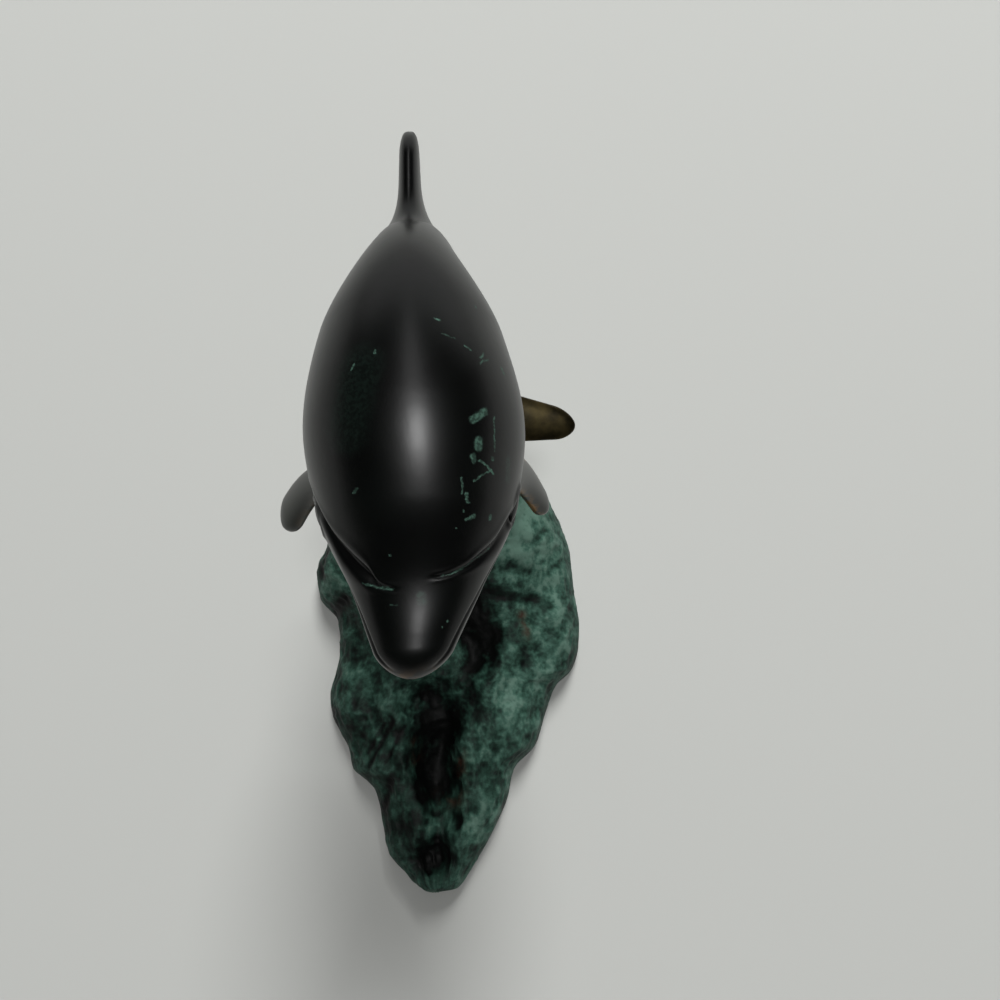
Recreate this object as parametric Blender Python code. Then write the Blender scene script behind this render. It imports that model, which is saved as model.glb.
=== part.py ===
"""A small bronze dolphin that curls its tail on to the crest of a wave, cast in one piece.

The dolphin's body is a row of oval sections carried along a curled centre line. The dorsal fin, the
two flippers, the flukes and the eyes are bodies of their own that start inside the body's skin. The
wave is a skin stretched between its left and right foot lines. All of them are joined into one solid.
X is the dolphin's left to right, Y runs from its snout to its tail, and Z is up.
"""

import math

import bmesh
import bpy
import mathutils
import numpy as np

# Body sections from snout to flukes, in metres. Each one gives its distance along the centre line, the
# half width, the height above the line, the depth below it, and how far it drifts to the right.
BODY = (
    (0.000, 0.0052, 0.0038, 0.0034, -0.0015),
    (0.007, 0.0081, 0.0054, 0.0050, -0.0009),
    (0.016, 0.0119, 0.0078, 0.0076, -0.0001),
    (0.029, 0.0179, 0.0155, 0.0135, 0.0003),
    (0.047, 0.0210, 0.0205, 0.0195, 0.0002),
    (0.064, 0.0182, 0.0193, 0.0188, 0.0000),
    (0.081, 0.0108, 0.0156, 0.0155, 0.0002),
    (0.097, 0.0081, 0.0115, 0.0118, 0.0006),
    (0.111, 0.0064, 0.0090, 0.0088, 0.0012),
    (0.124, 0.0046, 0.0064, 0.0064, 0.0018),
    (0.135, 0.0036, 0.0038, 0.0038, 0.0022),
    (0.142, 0.0030, 0.0020, 0.0020, 0.0024),
)
# The line's heading at each section, in degrees. 0 is level and backward, and 90 is straight up.
BODY_HEADINGS = (5, 0, -1, -3, 1, -10, -41, -72, -105, -136, -157, -160)
NOSE_ROUNDING = 0.005
BODY_RINGS = 60
BODY_SIDES = 32
RING_CROWDING = 1.25

# The melon is the round forehead. Below it a crease is cut across the snout, with a gap at the middle.
# Each arm of it is a row of distances to the side, with the distance from the snout's tip at each.
CREASE_LEFT = (
    (0.0000, 0.0145),
    (0.0038, 0.0150),
    (0.0061, 0.0157),
    (0.0084, 0.0177),
    (0.0126, 0.0216),
    (0.0150, 0.0252),
    (0.0176, 0.0306),
    (0.0200, 0.0370),
)
CREASE_RIGHT = (
    (0.0000, 0.0162),
    (0.0048, 0.0168),
    (0.0092, 0.0184),
    (0.0116, 0.0201),
    (0.0141, 0.0224),
    (0.0159, 0.0252),
    (0.0179, 0.0292),
    (0.0200, 0.0360),
)
CREASE_MIDDLE_BLEND = 0.0008
CREASE_DEPTH = 0.0013
CREASE_WIDTH = 0.0014
CREASE_GAP = 0.0040
CREASE_GAP_SOFTNESS = 0.0005
CREASE_BLEND = 0.010
MOUTH_START = 0.002
MOUTH_END = 0.030
MOUTH_DEPTH = 0.0005
MOUTH_SHARPNESS = 0.07

EYE_FROM_TIP = 0.0305
EYE_ANGLE = 4.0
EYE_LENGTH = 0.0060
EYE_HEIGHT = 0.0032
EYE_BULGE = 0.0005
EYE_ROOT_DEPTH = 0.0015

DORSAL_FROM_TIP = 0.090
DORSAL_ASIDE = -0.0004
DORSAL_HEIGHT = 0.0180
DORSAL_SWEEP = 0.0035
DORSAL_CHORD = 0.0185
DORSAL_TIP_CHORD = 0.0090
DORSAL_THICKNESS = 0.0056
DORSAL_LEAN = 0.0007
DORSAL_FILLET = 0.0029
DORSAL_SINK = 0.0030

FLIPPER_FROM_TIP = 0.0395
FLIPPER_ANGLE = -30.0
FLIPPER_LENGTH = 0.0215
FLIPPER_CHORD = 0.0110
FLIPPER_TIP_CHORD = 0.0096
FLIPPER_THICKNESS = 0.0042
FLIPPER_SWEEP = 0.0018
FLIPPER_BOW = 0.0009
FLIPPER_OUT_LEFT = 34.0
FLIPPER_OUT_RIGHT = 22.0
FLIPPER_FORWARD_LEFT = 9.0
FLIPPER_FORWARD_RIGHT = 6.0
FLIPPER_TOE = 28.0
FLIPPER_FILLET = 0.0012
FLIPPER_SINK = 0.0027

FLUKE_SPAN = 0.0680
FLUKE_CHORD = 0.0182
FLUKE_TIP_CHORD = 0.0068
FLUKE_REAR = 0.0042
FLUKE_NOTCH = 0.0030
FLUKE_NOTCH_WIDTH = 0.0040
FLUKE_THICKNESS = 0.0036
FLUKE_DROOP = 0.0020

FIN_ROOT_DEPTH = 0.0030
FIN_THINNING = 0.14

# The wave. Its foot line is given as pairs, left then right, from the hidden rear to the front tongue.
CREST_PLACE = (0.0010, 0.0475)
CREST_HEIGHT = 0.0680
CREST_DOME = 0.0025
CREST_CARRIES = 0.129
CREST_TO_LINE = 0.0015
WAVE_FOOT = (
    (0.0010, 0.0740, 0.0010, 0.0740),
    (-0.0130, 0.0710, 0.0135, 0.0710),
    (-0.0215, 0.0600, 0.0210, 0.0600),
    (-0.0270, 0.0450, 0.0255, 0.0460),
    (-0.0315, 0.0310, 0.0300, 0.0350),
    (-0.0365, 0.0190, 0.0352, 0.0240),
    (-0.0393, 0.0115, 0.0378, 0.0140),
    (-0.0385, 0.0050, 0.0382, 0.0040),
    (-0.0330, -0.0030, 0.0390, -0.0060),
    (-0.0325, -0.0120, 0.0385, -0.0130),
    (-0.0356, -0.0240, 0.0360, -0.0200),
    (-0.0350, -0.0300, 0.0310, -0.0245),
    (-0.0305, -0.0390, 0.0275, -0.0320),
    (-0.0290, -0.0450, 0.0240, -0.0410),
    (-0.0225, -0.0520, 0.0170, -0.0480),
    (-0.0208, -0.0610, 0.0152, -0.0550),
    (-0.0195, -0.0680, 0.0115, -0.0625),
    (-0.0150, -0.0740, 0.0060, -0.0710),
    (-0.0105, -0.0778, -0.0005, -0.0785),
    (-0.0060, -0.0795, -0.0060, -0.0795),
)
# Heights of the wave over the ground, by the distance from the crest.
WAVE_FALL = (
    (0.000, CREST_HEIGHT),
    (0.008, CREST_HEIGHT - CREST_DOME),
    (0.020, 0.0440),
    (0.035, 0.0300),
    (0.060, 0.0205),
    (0.090, 0.0160),
    (0.115, 0.0125),
    (0.140, 0.0090),
)
WAVE_BACK_STEEPNESS = 1.9
WAVE_ROWS = 72
WAVE_COLUMNS = 40
WAVE_EDGE = 2.7
WAVE_LEAST = 0.0015
TROUGH_DEPTH = 0.0040
TROUGH_WIDTH = 0.36
RELIEF_STARTS = 0.045
RELIEF_STARTS_BEHIND = 0.012
RELIEF_BEHIND = 2.0
RELIEF_ENDS = 0.025
RIPPLE_HEIGHT = 0.0010
RIPPLE_BENDS = (0.0483, 0.0203)
RIPPLE_BREAKS = 0.0370
# Hollows and rises in the wave's face: place across and along, radii across and along, and height.
SWELLS = (
    (-0.0050, -0.0440, 0.0062, 0.0118, -0.0062),
    (-0.0066, -0.0705, 0.0046, 0.0040, -0.0040),
    (-0.0070, -0.0270, 0.0075, 0.0050, -0.0030),
    (0.0095, -0.0120, 0.0060, 0.0080, -0.0020),
    (0.0275, 0.0165, 0.0050, 0.0045, 0.0014),
    (0.0220, 0.0095, 0.0055, 0.0035, 0.0014),
    (0.0335, 0.0070, 0.0045, 0.0045, 0.0012),
    (0.0190, 0.0030, 0.0060, 0.0028, 0.0012),
    (0.0300, -0.0080, 0.0050, 0.0060, 0.0012),
    (-0.0340, 0.0125, 0.0050, 0.0050, 0.0014),
    (-0.0290, -0.0270, 0.0050, 0.0090, 0.0012),
    (-0.0225, -0.0450, 0.0035, 0.0080, 0.0010),
    (0.0190, -0.0380, 0.0045, 0.0080, 0.0012),
    (0.0090, -0.0530, 0.0045, 0.0070, 0.0012),
    (0.0015, -0.0655, 0.0040, 0.0045, 0.0010),
)


def smooth(x, xs, ys):
    """A curve through the points (xs, ys) with no overshoot: cubic pieces, each slope the harmonic
    mean of the slopes beside it, and flat where those two differ in sign."""
    xs = np.asarray(xs, float)
    ys = np.asarray(ys, float)
    step = np.diff(xs)
    slope = np.diff(ys) / step
    tangent = np.concatenate(([slope[0]], np.zeros(len(xs) - 2), [slope[-1]]))
    left = 2 * step[1:] + step[:-1]
    right = step[1:] + 2 * step[:-1]
    turning = slope[:-1] * slope[1:] <= 0
    safe_before = np.where(turning, 1.0, slope[:-1])
    safe_after = np.where(turning, 1.0, slope[1:])
    mean = (left + right) / (left / safe_before + right / safe_after)
    tangent[1:-1] = np.where(turning, 0.0, mean)
    x = np.clip(x, xs[0], xs[-1])
    piece = np.clip(np.searchsorted(xs, x, side="right") - 1, 0, len(step) - 1)
    width = step[piece]
    t = (x - xs[piece]) / width
    start = ys[piece] * (1 + 2 * t) * (1 - t) ** 2 + tangent[piece] * width * t * (1 - t) ** 2
    end = ys[piece + 1] * t * t * (3 - 2 * t) + tangent[piece + 1] * width * t * t * (t - 1)
    return start + end


def unit(vector):
    """The same direction with length one."""
    return vector / np.linalg.norm(vector)


def body_column(number):
    """One column of the body's table, such as every half width."""
    return [section[number] for section in BODY]


def centre_line(along):
    """Where the centre line is, and its heading in radians, at each distance from the snout's tip.

    The line is the running sum of short steps, each step taken in the heading that holds there. It
    is then moved as a whole, so that the point that the wave carries lies just over the crest.
    """
    fine = np.linspace(0, BODY[-1][0], 1201)
    heading = np.radians(smooth(fine, body_column(0), BODY_HEADINGS))
    step = np.diff(fine, prepend=0)
    y = np.cumsum(np.cos(heading) * step)
    z = np.cumsum(np.sin(heading) * step)
    y += CREST_PLACE[1] - np.interp(CREST_CARRIES, fine, y)
    z += CREST_HEIGHT + CREST_TO_LINE - np.interp(CREST_CARRIES, fine, z)
    return np.interp(along, fine, y), np.interp(along, fine, z), np.interp(along, fine, heading)


def frame_at(along):
    """The line's point at a distance, the direction that the line runs in, and the body's up."""
    y, z, heading = centre_line(along)
    x = smooth(np.array([along]), body_column(0), body_column(4))[0]
    point = np.array([x, y, z])
    forward = np.array([0.0, math.cos(heading), math.sin(heading)])
    up = np.array([0.0, -math.sin(heading), math.cos(heading)])
    return point, forward, up


def skin(along, around):
    """Points of the body's skin, at distances along the line and angles around it.

    A section is two half ovals: half width times cosine across, and height above the line, or depth
    below it, times sine upward. Near the tip all three shrink as the quarter of a circle does.
    """
    y, z, heading = centre_line(along)
    nose = 1 - np.minimum(along / NOSE_ROUNDING, 1)
    shrink = np.sqrt(np.maximum(1 - nose * nose, 0))
    half_width = smooth(along, body_column(0), body_column(1)) * shrink
    above = smooth(along, body_column(0), body_column(2)) * shrink
    below = smooth(along, body_column(0), body_column(3)) * shrink
    drift = smooth(along, body_column(0), body_column(4))
    across = half_width * np.cos(around)
    upward = np.where(np.sin(around) >= 0, above, below) * np.sin(around)
    across, upward = cut_grooves(along, around, across, upward)
    return np.stack([
        drift + across,
        y - np.sin(heading) * upward,
        z + np.cos(heading) * upward,
    ], axis=-1)


def crease_place(across):
    """How far from the snout's tip the crease lies, at a distance to the right of the middle."""
    left = smooth(np.abs(across), *zip(*CREASE_LEFT))
    right = smooth(np.abs(across), *zip(*CREASE_RIGHT))
    right_share = 1 / (1 + np.exp(-across / CREASE_MIDDLE_BLEND))
    return left + (right - left) * right_share


def cut_grooves(along, around, across, upward):
    """The crease under the melon and the line of the mouth, as small pulls towards the centre line."""
    beside = (along - crease_place(across)) / CREASE_WIDTH
    outside_gap = 1 / (1 + np.exp(-(np.abs(across) - CREASE_GAP) / CREASE_GAP_SOFTNESS))
    on_top = np.clip(np.sin(around) * 4 - 0.4, 0, 1)
    pull = CREASE_DEPTH * np.exp(-beside * beside) * outside_gap * on_top
    in_mouth = (along > MOUTH_START) & (along < MOUTH_END)
    pull = pull + MOUTH_DEPTH * np.exp(-(np.sin(around) / MOUTH_SHARPNESS) ** 2) * in_mouth
    reach = np.maximum(np.hypot(across, upward), 1e-6)
    keep = 1 - np.minimum(pull / reach, 0.5)
    return across * keep, upward * keep


def mesh_object(name, rings):
    """A closed skin from a grid of points: each row is a ring, and both end rings are capped."""
    rows, columns = rings.shape[:2]
    corners = rings.reshape(-1, 3)
    row = np.arange(rows - 1)[:, None]
    column = np.arange(columns)[None, :]
    beside = (column + 1) % columns
    here = row * columns
    faces = np.stack([here + column, here + beside, here + columns + beside, here + columns + column], -1)
    faces = [tuple(face) for face in faces.reshape(-1, 4).tolist()]
    faces.append(tuple(range(columns))[::-1])
    faces.append(tuple(range((rows - 1) * columns, rows * columns)))
    return finish_mesh(name, corners, faces)


def finish_mesh(name, corners, faces):
    """Make an object from corners and faces, with near doubles merged and the faces turned outward."""
    mesh = bpy.data.meshes.new(name)
    mesh.from_pydata(corners.tolist(), [], faces)
    work = bmesh.new()
    work.from_mesh(mesh)
    bmesh.ops.remove_doubles(work, verts=work.verts, dist=1e-6)
    bmesh.ops.triangulate(work, faces=work.faces)
    bmesh.ops.recalc_face_normals(work, faces=work.faces)
    work.to_mesh(mesh)
    work.free()
    made = bpy.data.objects.new(name, mesh)
    bpy.context.scene.collection.objects.link(made)
    return made


def make_body():
    """The dolphin's body, with rings set closer together towards the snout.

    Near the crease the rings bend back on top as the crease does, so that it runs along a ring.
    """
    places = BODY[-1][0] * np.linspace(0.012, 1, BODY_RINGS) ** RING_CROWDING
    crease_middle = float(crease_place(0.0))
    at_crease = crease_middle + CREASE_WIDTH * np.array([-0.9, -0.4, 0.0, 0.4, 0.9])
    clear = np.abs(places[:, None] - at_crease).min(axis=1) > CREASE_WIDTH * 0.3
    places = np.sort(np.concatenate([places[clear], at_crease]))
    around = np.linspace(0, 2 * math.pi, BODY_SIDES, endpoint=False)
    along, around = np.meshgrid(places, around, indexing="ij")
    half_width = smooth(along, body_column(0), body_column(1))
    back = crease_place(half_width * np.cos(around)) - crease_middle
    back = back * np.maximum(np.sin(around), 0) ** 0.5
    along = along + back * np.exp(-((along - crease_middle) / CREASE_BLEND) ** 2)
    return mesh_object("body", skin(along, around))


def blade(root, outward, backward, length, chord, tip_chord, thickness, sweep, fillet, bow):
    """A fin as a row of lens sections, from inside the body to a rounded tip.

    At the share s of its length a section lies at root + outward * length * s + backward * sweep * s^1.6,
    moved sideways by bow * sin(pi * s). Its chord goes from the root's to the tip's and closes as a
    quarter of a circle does over the last part, the thickness closes with it, and both swell by the
    fillet where the fin leaves the skin.
    """
    flat = np.cross(outward, backward)
    sunk = -FIN_ROOT_DEPTH / length
    share = np.concatenate(([sunk], np.linspace(0, 0.2, 4), np.linspace(0.3, 0.8, 5), [0.88, 0.94, 0.98, 0.998]))
    positive = np.clip(share, 0, 1)
    rounding = tip_chord / 2 / length
    close = np.sqrt(1 - np.clip((share - 1 + rounding) / rounding, 0, 1) ** 2)
    swell = fillet * np.clip(1 - positive * length / fillet / 1.6, 0, 1) ** 2
    swell = np.where(share < 0, 0, swell)
    half_chord = (chord + (tip_chord - chord) * positive) * close / 2 + swell
    half_thickness = thickness / 2 * (1 - FIN_THINNING * positive) * close ** 0.6 + swell
    turn = np.linspace(0, 2 * math.pi, 16, endpoint=False)
    centre = root + outward * (length * share)[:, None] + backward * (sweep * positive ** 1.6)[:, None]
    centre = centre + flat * (bow * np.sin(math.pi * positive))[:, None]
    along_chord = half_chord[:, None] * np.cos(turn)
    through = half_thickness[:, None] * np.sin(turn) * (1 - 0.25 * np.cos(turn))
    return centre[:, None] + along_chord[..., None] * backward + through[..., None] * flat


def make_dorsal_fin():
    """The fin on the back. It stands square to the back where it grows and leans a little aside."""
    point, forward, up = frame_at(DORSAL_FROM_TIP)
    above = smooth(np.array([DORSAL_FROM_TIP]), body_column(0), body_column(2))[0]
    root = point + up * (above - DORSAL_SINK) + np.array([DORSAL_ASIDE, 0, 0])
    outward = unit(up + np.array([DORSAL_LEAN / DORSAL_HEIGHT, 0, 0]))
    rings = blade(root, outward, forward, DORSAL_HEIGHT + DORSAL_SINK, DORSAL_CHORD, DORSAL_TIP_CHORD,
                  DORSAL_THICKNESS, DORSAL_SWEEP, DORSAL_FILLET, 0)
    return mesh_object("dorsal_fin", rings)


def make_flipper(side):
    """A flipper, on the right with side +1 and on the left with side -1.

    It grows from the skin below the widest line, and hangs outward, forward and down.
    """
    angle = math.radians(FLIPPER_ANGLE)
    around = angle if side > 0 else math.pi - angle
    root = skin(np.array([FLIPPER_FROM_TIP]), np.array([around]))[0]
    out = math.radians(FLIPPER_OUT_RIGHT if side > 0 else FLIPPER_OUT_LEFT)
    ahead = math.radians(FLIPPER_FORWARD_RIGHT if side > 0 else FLIPPER_FORWARD_LEFT)
    outward = np.array([
        side * math.sin(out) * math.cos(ahead),
        -math.sin(ahead),
        -math.cos(out) * math.cos(ahead),
    ])
    toe = math.radians(FLIPPER_TOE)
    rear = np.array([side * math.sin(toe), math.cos(toe), 0.0])
    backward = unit(rear - outward * np.dot(rear, outward))
    root = root - outward * FLIPPER_SINK
    rings = blade(root, outward, backward, FLIPPER_LENGTH + FLIPPER_SINK, FLIPPER_CHORD, FLIPPER_TIP_CHORD,
                  FLIPPER_THICKNESS, FLIPPER_SWEEP, FLIPPER_FILLET, -side * FLIPPER_BOW)
    name = "flipper_right" if side > 0 else "flipper_left"
    return mesh_object(name, rings)


def make_flukes():
    """Both flukes as one blade from tip to tip, lying across the end of the tail.

    At the share s from the middle to a tip, the front edge falls back in a straight line, the rear
    edge is straight with a small notch at s = 0, and the blade closes as a quarter circle at the tip.
    """
    point, forward, up = frame_at(BODY[-1][0])
    turn = np.linspace(0, 2 * math.pi, 16, endpoint=False)
    share = np.sin(np.linspace(-0.5, 0.5, 27) * math.pi * 0.985)
    size = np.abs(share)
    front = FLUKE_REAR - FLUKE_CHORD + (FLUKE_CHORD - FLUKE_TIP_CHORD) * size
    rear = FLUKE_REAR - FLUKE_NOTCH * np.exp(-(share * FLUKE_SPAN / 2 / FLUKE_NOTCH_WIDTH) ** 2)
    rounding = FLUKE_TIP_CHORD / FLUKE_SPAN * 1.5
    close = np.sqrt(1 - np.clip((size - 1 + rounding) / rounding, 0, 0.999) ** 2)
    middle = (front + rear) / 2
    half_chord = (rear - front) / 2 * close
    half_thickness = FLUKE_THICKNESS / 2 * (1 - 0.35 * size) * close ** 0.6
    side = np.array([1.0, 0.0, 0.0])
    centre = point + side * (share * FLUKE_SPAN / 2)[:, None] + forward * middle[:, None]
    centre = centre + up * (FLUKE_DROOP * size ** 2)[:, None]
    along_chord = half_chord[:, None] * np.cos(turn)
    through = half_thickness[:, None] * np.sin(turn)
    rings = centre[:, None] + along_chord[..., None] * forward + through[..., None] * up
    return mesh_object("flukes", rings)


def make_eye(side):
    """A low almond dome that stands just proud of the skin, pointed towards the snout and the tail."""
    angle = math.radians(EYE_ANGLE)
    around = angle if side > 0 else math.pi - angle
    step = 0.0005
    spots = skin(np.array([EYE_FROM_TIP, EYE_FROM_TIP + step, EYE_FROM_TIP]),
                 np.array([around, around, around + side * 0.05]))
    lengthwise = unit(spots[1] - spots[0])
    upright = unit(spots[2] - spots[0])
    proud = unit(np.cross(lengthwise, upright)) * side
    turn = np.linspace(0, 2 * math.pi, 14, endpoint=False)
    level = np.array([-1.0, -0.4, 0.0, 0.35, 0.7, 0.95])
    reach = np.sqrt(1 - np.abs(level) ** 2.2 * 0.98)
    almond = np.sign(np.sin(turn)) * np.abs(np.sin(turn)) ** 1.3
    long_way = reach[:, None] * np.cos(turn) * EYE_LENGTH / 2
    high_way = reach[:, None] * almond * EYE_HEIGHT / 2
    depth = np.where(level < 0, level * EYE_ROOT_DEPTH, level * EYE_BULGE)
    rings = spots[0] + long_way[..., None] * lengthwise + high_way[..., None] * upright
    rings = rings + depth[:, None, None] * proud
    return mesh_object("eye", rings)


def wave_skin(rows, columns):
    """The wave's upper skin on a grid: rows run from the rear to the front, columns from foot to foot.

    A point lies between the left and right foot at the share v from -1 to 1. Its height is the fall
    from the crest, less the trough, plus the ripples and the swells, all times the edge rounding
    (1 - |v|^e)^(1/e), which brings it down to the ground at both feet.
    """
    pair = np.arange(len(WAVE_FOOT))
    t = (1 - np.cos(np.linspace(0, math.pi, rows))) / 2
    t = (0.55 * t + 0.45 * np.linspace(0, 1, rows)) * pair[-1]
    foot = [smooth(t, pair, [points[k] for points in WAVE_FOOT])[:, None] for k in range(4)]
    v = np.sin(np.linspace(-1, 1, columns) * math.pi / 2)[None, :]
    x = foot[0] + (foot[2] - foot[0]) * (v + 1) / 2
    y = foot[1] + (foot[3] - foot[1]) * (v + 1) / 2
    behind = np.maximum(y - CREST_PLACE[1], 0) * (WAVE_BACK_STEEPNESS - 1)
    away = np.hypot(x - CREST_PLACE[0], y - CREST_PLACE[1] + behind)
    distances = [step[0] for step in WAVE_FALL]
    heights = [step[1] for step in WAVE_FALL]
    z = smooth(away, distances, heights)
    from_crest = np.clip((CREST_PLACE[1] - y) / RELIEF_STARTS, 0, 1)
    from_tip = np.clip((y - WAVE_FOOT[-1][1]) / RELIEF_ENDS, 0, 1)
    relief = from_crest * from_tip
    behind_crest = np.clip((y - CREST_PLACE[1]) / RELIEF_STARTS_BEHIND, 0, 1) * RELIEF_BEHIND
    z = z - TROUGH_DEPTH * np.exp(-(v / TROUGH_WIDTH) ** 2) * relief ** 2 * (3 - 2 * relief)
    z = z + ripples(v, y) * (relief + behind_crest)
    for place_x, place_y, radius_x, radius_y, height in SWELLS:
        near = ((x - place_x) / radius_x) ** 2 + ((y - place_y) / radius_y) ** 2
        z = z + height * np.exp(-near ** 1.5)
    closing = np.maximum(1 - np.abs(v) ** WAVE_EDGE, 0) ** (1 / WAVE_EDGE)
    ends = np.clip(np.sin(t / pair[-1] * math.pi) * 6, 0, 1) ** 0.4
    z = np.maximum(z, WAVE_LEAST) * closing * ends[:, None]
    return np.stack([x, y, z], axis=-1)


def ripples(v, y):
    """Long ridges that run down from the crest: cosines across, bent and broken by cosines along."""
    turns = 2 * math.pi * y
    bend = 0.35 * np.cos(turns / RIPPLE_BENDS[0]) + 0.2 * np.cos(turns / RIPPLE_BENDS[1] + 1)
    broad = np.cos(9.0 * v + 3.4 + bend)
    fine = np.cos(19.0 * v + 3.0 + 2.0 * bend) * np.cos(turns / RIPPLE_BREAKS + 2 * v)
    return RIPPLE_HEIGHT * (broad + 0.7 * fine)


def make_wave():
    """The wave, closed underneath by one flat face that it rests on."""
    grid = wave_skin(WAVE_ROWS, WAVE_COLUMNS)
    corners = grid.reshape(-1, 3)
    row = np.arange(WAVE_ROWS - 1)[:, None] * WAVE_COLUMNS
    column = np.arange(WAVE_COLUMNS - 1)[None, :]
    here = row + column
    faces = np.stack([here, here + 1, here + WAVE_COLUMNS + 1, here + WAVE_COLUMNS], -1)
    faces = [tuple(face) for face in faces.reshape(-1, 4).tolist()]
    left = [number * WAVE_COLUMNS for number in range(1, WAVE_ROWS - 1)]
    right = [number * WAVE_COLUMNS + WAVE_COLUMNS - 1 for number in range(WAVE_ROWS - 2, 0, -1)]
    faces.append(tuple([0] + left + [(WAVE_ROWS - 1) * WAVE_COLUMNS] + right))
    return finish_mesh("wave", corners, faces)


def join(target, other):
    """Join another closed body into the target with a union, and hide the one that was joined."""
    union = target.modifiers.new(other.name, "BOOLEAN")
    union.operation = "UNION"
    union.solver = "EXACT"
    union.object = other
    other.hide_render = True
    other.display_type = "WIRE"


def stand_over_origin(forms):
    """Move the forms as one, so that the middle of their box stands on the origin."""
    corners = np.array([corner.co for form in forms for corner in form.data.vertices])
    lowest = corners.min(axis=0)
    highest = corners.max(axis=0)
    shift = mathutils.Vector((-(lowest[0] + highest[0]) / 2, -(lowest[1] + highest[1]) / 2, -lowest[2]))
    for form in forms:
        form.data.transform(mathutils.Matrix.Translation(shift))


def bronze():
    """Dark patinated bronze."""
    material = bpy.data.materials.new("dark_bronze")
    material.use_nodes = True
    shader = material.node_tree.nodes["Principled BSDF"]
    shader.inputs["Base Color"].default_value = (0.018, 0.020, 0.018, 1)
    shader.inputs["Roughness"].default_value = 0.38
    shader.inputs["Metallic"].default_value = 0.85
    return material


def main():
    """Model every form, join them into the one casting and stand it over the origin."""
    for old in list(bpy.data.objects):
        bpy.data.objects.remove(old)
    casting = make_body()
    casting.name = "dolphin_on_wave"
    forms = [make_wave(), make_dorsal_fin(), make_flipper(1), make_flipper(-1), make_flukes(),
             make_eye(1), make_eye(-1)]
    stand_over_origin([casting] + forms)
    for form in forms:
        join(casting, form)
    casting.data.materials.append(bronze())
    casting.data.shade_smooth()


main()
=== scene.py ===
# %% [markdown]
# # A small bronze dolphin on the crest of a wave
#
# The real thing is one casting. A dolphin leaps forward and curls its tail down and under, on to the
# crest of a wave that is also its foot. The founder poured it whole, smoothed the dolphin, left the
# wave rough, and coloured the two with different patinas: a waxed black on the animal, a mottled
# green on the water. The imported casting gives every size. It is loaded first, and each of its forms is
# then made again in the same place as a finer surface, with the grooves, streaks and wear that the
# plain casting leaves out.

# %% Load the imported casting
import math

import bpy
import numpy as np
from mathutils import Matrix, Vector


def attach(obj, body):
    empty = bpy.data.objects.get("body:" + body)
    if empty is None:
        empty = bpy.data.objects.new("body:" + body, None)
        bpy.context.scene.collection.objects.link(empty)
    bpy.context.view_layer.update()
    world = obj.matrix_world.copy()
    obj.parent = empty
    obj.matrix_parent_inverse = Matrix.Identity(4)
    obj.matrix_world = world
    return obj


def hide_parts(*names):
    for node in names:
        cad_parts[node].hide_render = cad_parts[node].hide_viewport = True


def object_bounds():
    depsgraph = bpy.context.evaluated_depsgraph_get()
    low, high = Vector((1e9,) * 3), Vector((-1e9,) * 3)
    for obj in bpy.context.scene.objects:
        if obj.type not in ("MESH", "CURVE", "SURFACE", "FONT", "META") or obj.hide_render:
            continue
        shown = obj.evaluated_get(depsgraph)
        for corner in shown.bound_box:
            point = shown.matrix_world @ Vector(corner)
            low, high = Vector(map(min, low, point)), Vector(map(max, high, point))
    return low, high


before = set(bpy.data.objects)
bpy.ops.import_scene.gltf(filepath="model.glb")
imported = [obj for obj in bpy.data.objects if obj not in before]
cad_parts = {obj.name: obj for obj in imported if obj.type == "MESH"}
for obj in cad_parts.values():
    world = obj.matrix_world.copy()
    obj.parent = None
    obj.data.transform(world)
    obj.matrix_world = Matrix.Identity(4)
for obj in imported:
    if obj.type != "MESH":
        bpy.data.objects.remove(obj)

CASTING = "dolphin_on_wave"
BODY_NAME = "root"
packed_low, packed_high = [np.array(corner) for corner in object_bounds()]
print("the casting stands", round(packed_high[2] * 1000, 1), "mm tall")

# %% [markdown]
# ## From a formula to a mesh
#
# Every form here is a sheet of points with two directions: along the form, and across or around it.
# A sheet could be pushed about by hand, but a formula is easier to keep smooth and to change later.
# Whole arrays of points are worked out at once, and this helper turns an array into a mesh. A form that
# closes around itself, such as a fin, joins its last column to its first, and a cap closes each end.

# %% A helper that makes a piece from a grid of points
def piece_from_grid(name, grid, closed_around, capped=True):
    """Corners are the grid's points. Each face joins four neighbours: this one, the next one around,
    and the two after them along. Each cap is one face over a whole end ring or, for an open sheet,
    one face along the sheet's whole rim. All faces are turned to point outward afterwards."""
    grid = np.clip(grid, packed_low, packed_high)
    rows, columns = grid.shape[:2]
    row = np.arange(rows - 1)[:, None]
    column = np.arange(columns if closed_around else columns - 1)[None, :]
    here = row * columns
    beside = (column + 1) % columns
    quads = np.stack([here + column, here + beside, here + columns + beside, here + columns + column], -1)
    faces = quads.reshape(-1, 4).tolist()
    numbers = np.arange(rows * columns).reshape(rows, columns)
    if capped and closed_around:
        faces += [numbers[0, ::-1].tolist(), numbers[-1].tolist()]
    elif capped:
        rim = np.concatenate([numbers[0], numbers[1:-1, -1], numbers[-1, ::-1], numbers[-2:0:-1, 0]])
        faces.append(rim.tolist())
    mesh = bpy.data.meshes.new(name)
    mesh.from_pydata(grid.reshape(-1, 3).tolist(), [], faces)
    piece = bpy.data.objects.new(name, mesh)
    bpy.context.scene.collection.objects.link(piece)
    face_outward(mesh)
    mesh.shade_smooth()
    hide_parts(CASTING)
    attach(piece, BODY_NAME)
    print(name, "has", len(mesh.vertices), "corners and", len(mesh.polygons), "faces")
    return piece


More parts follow.
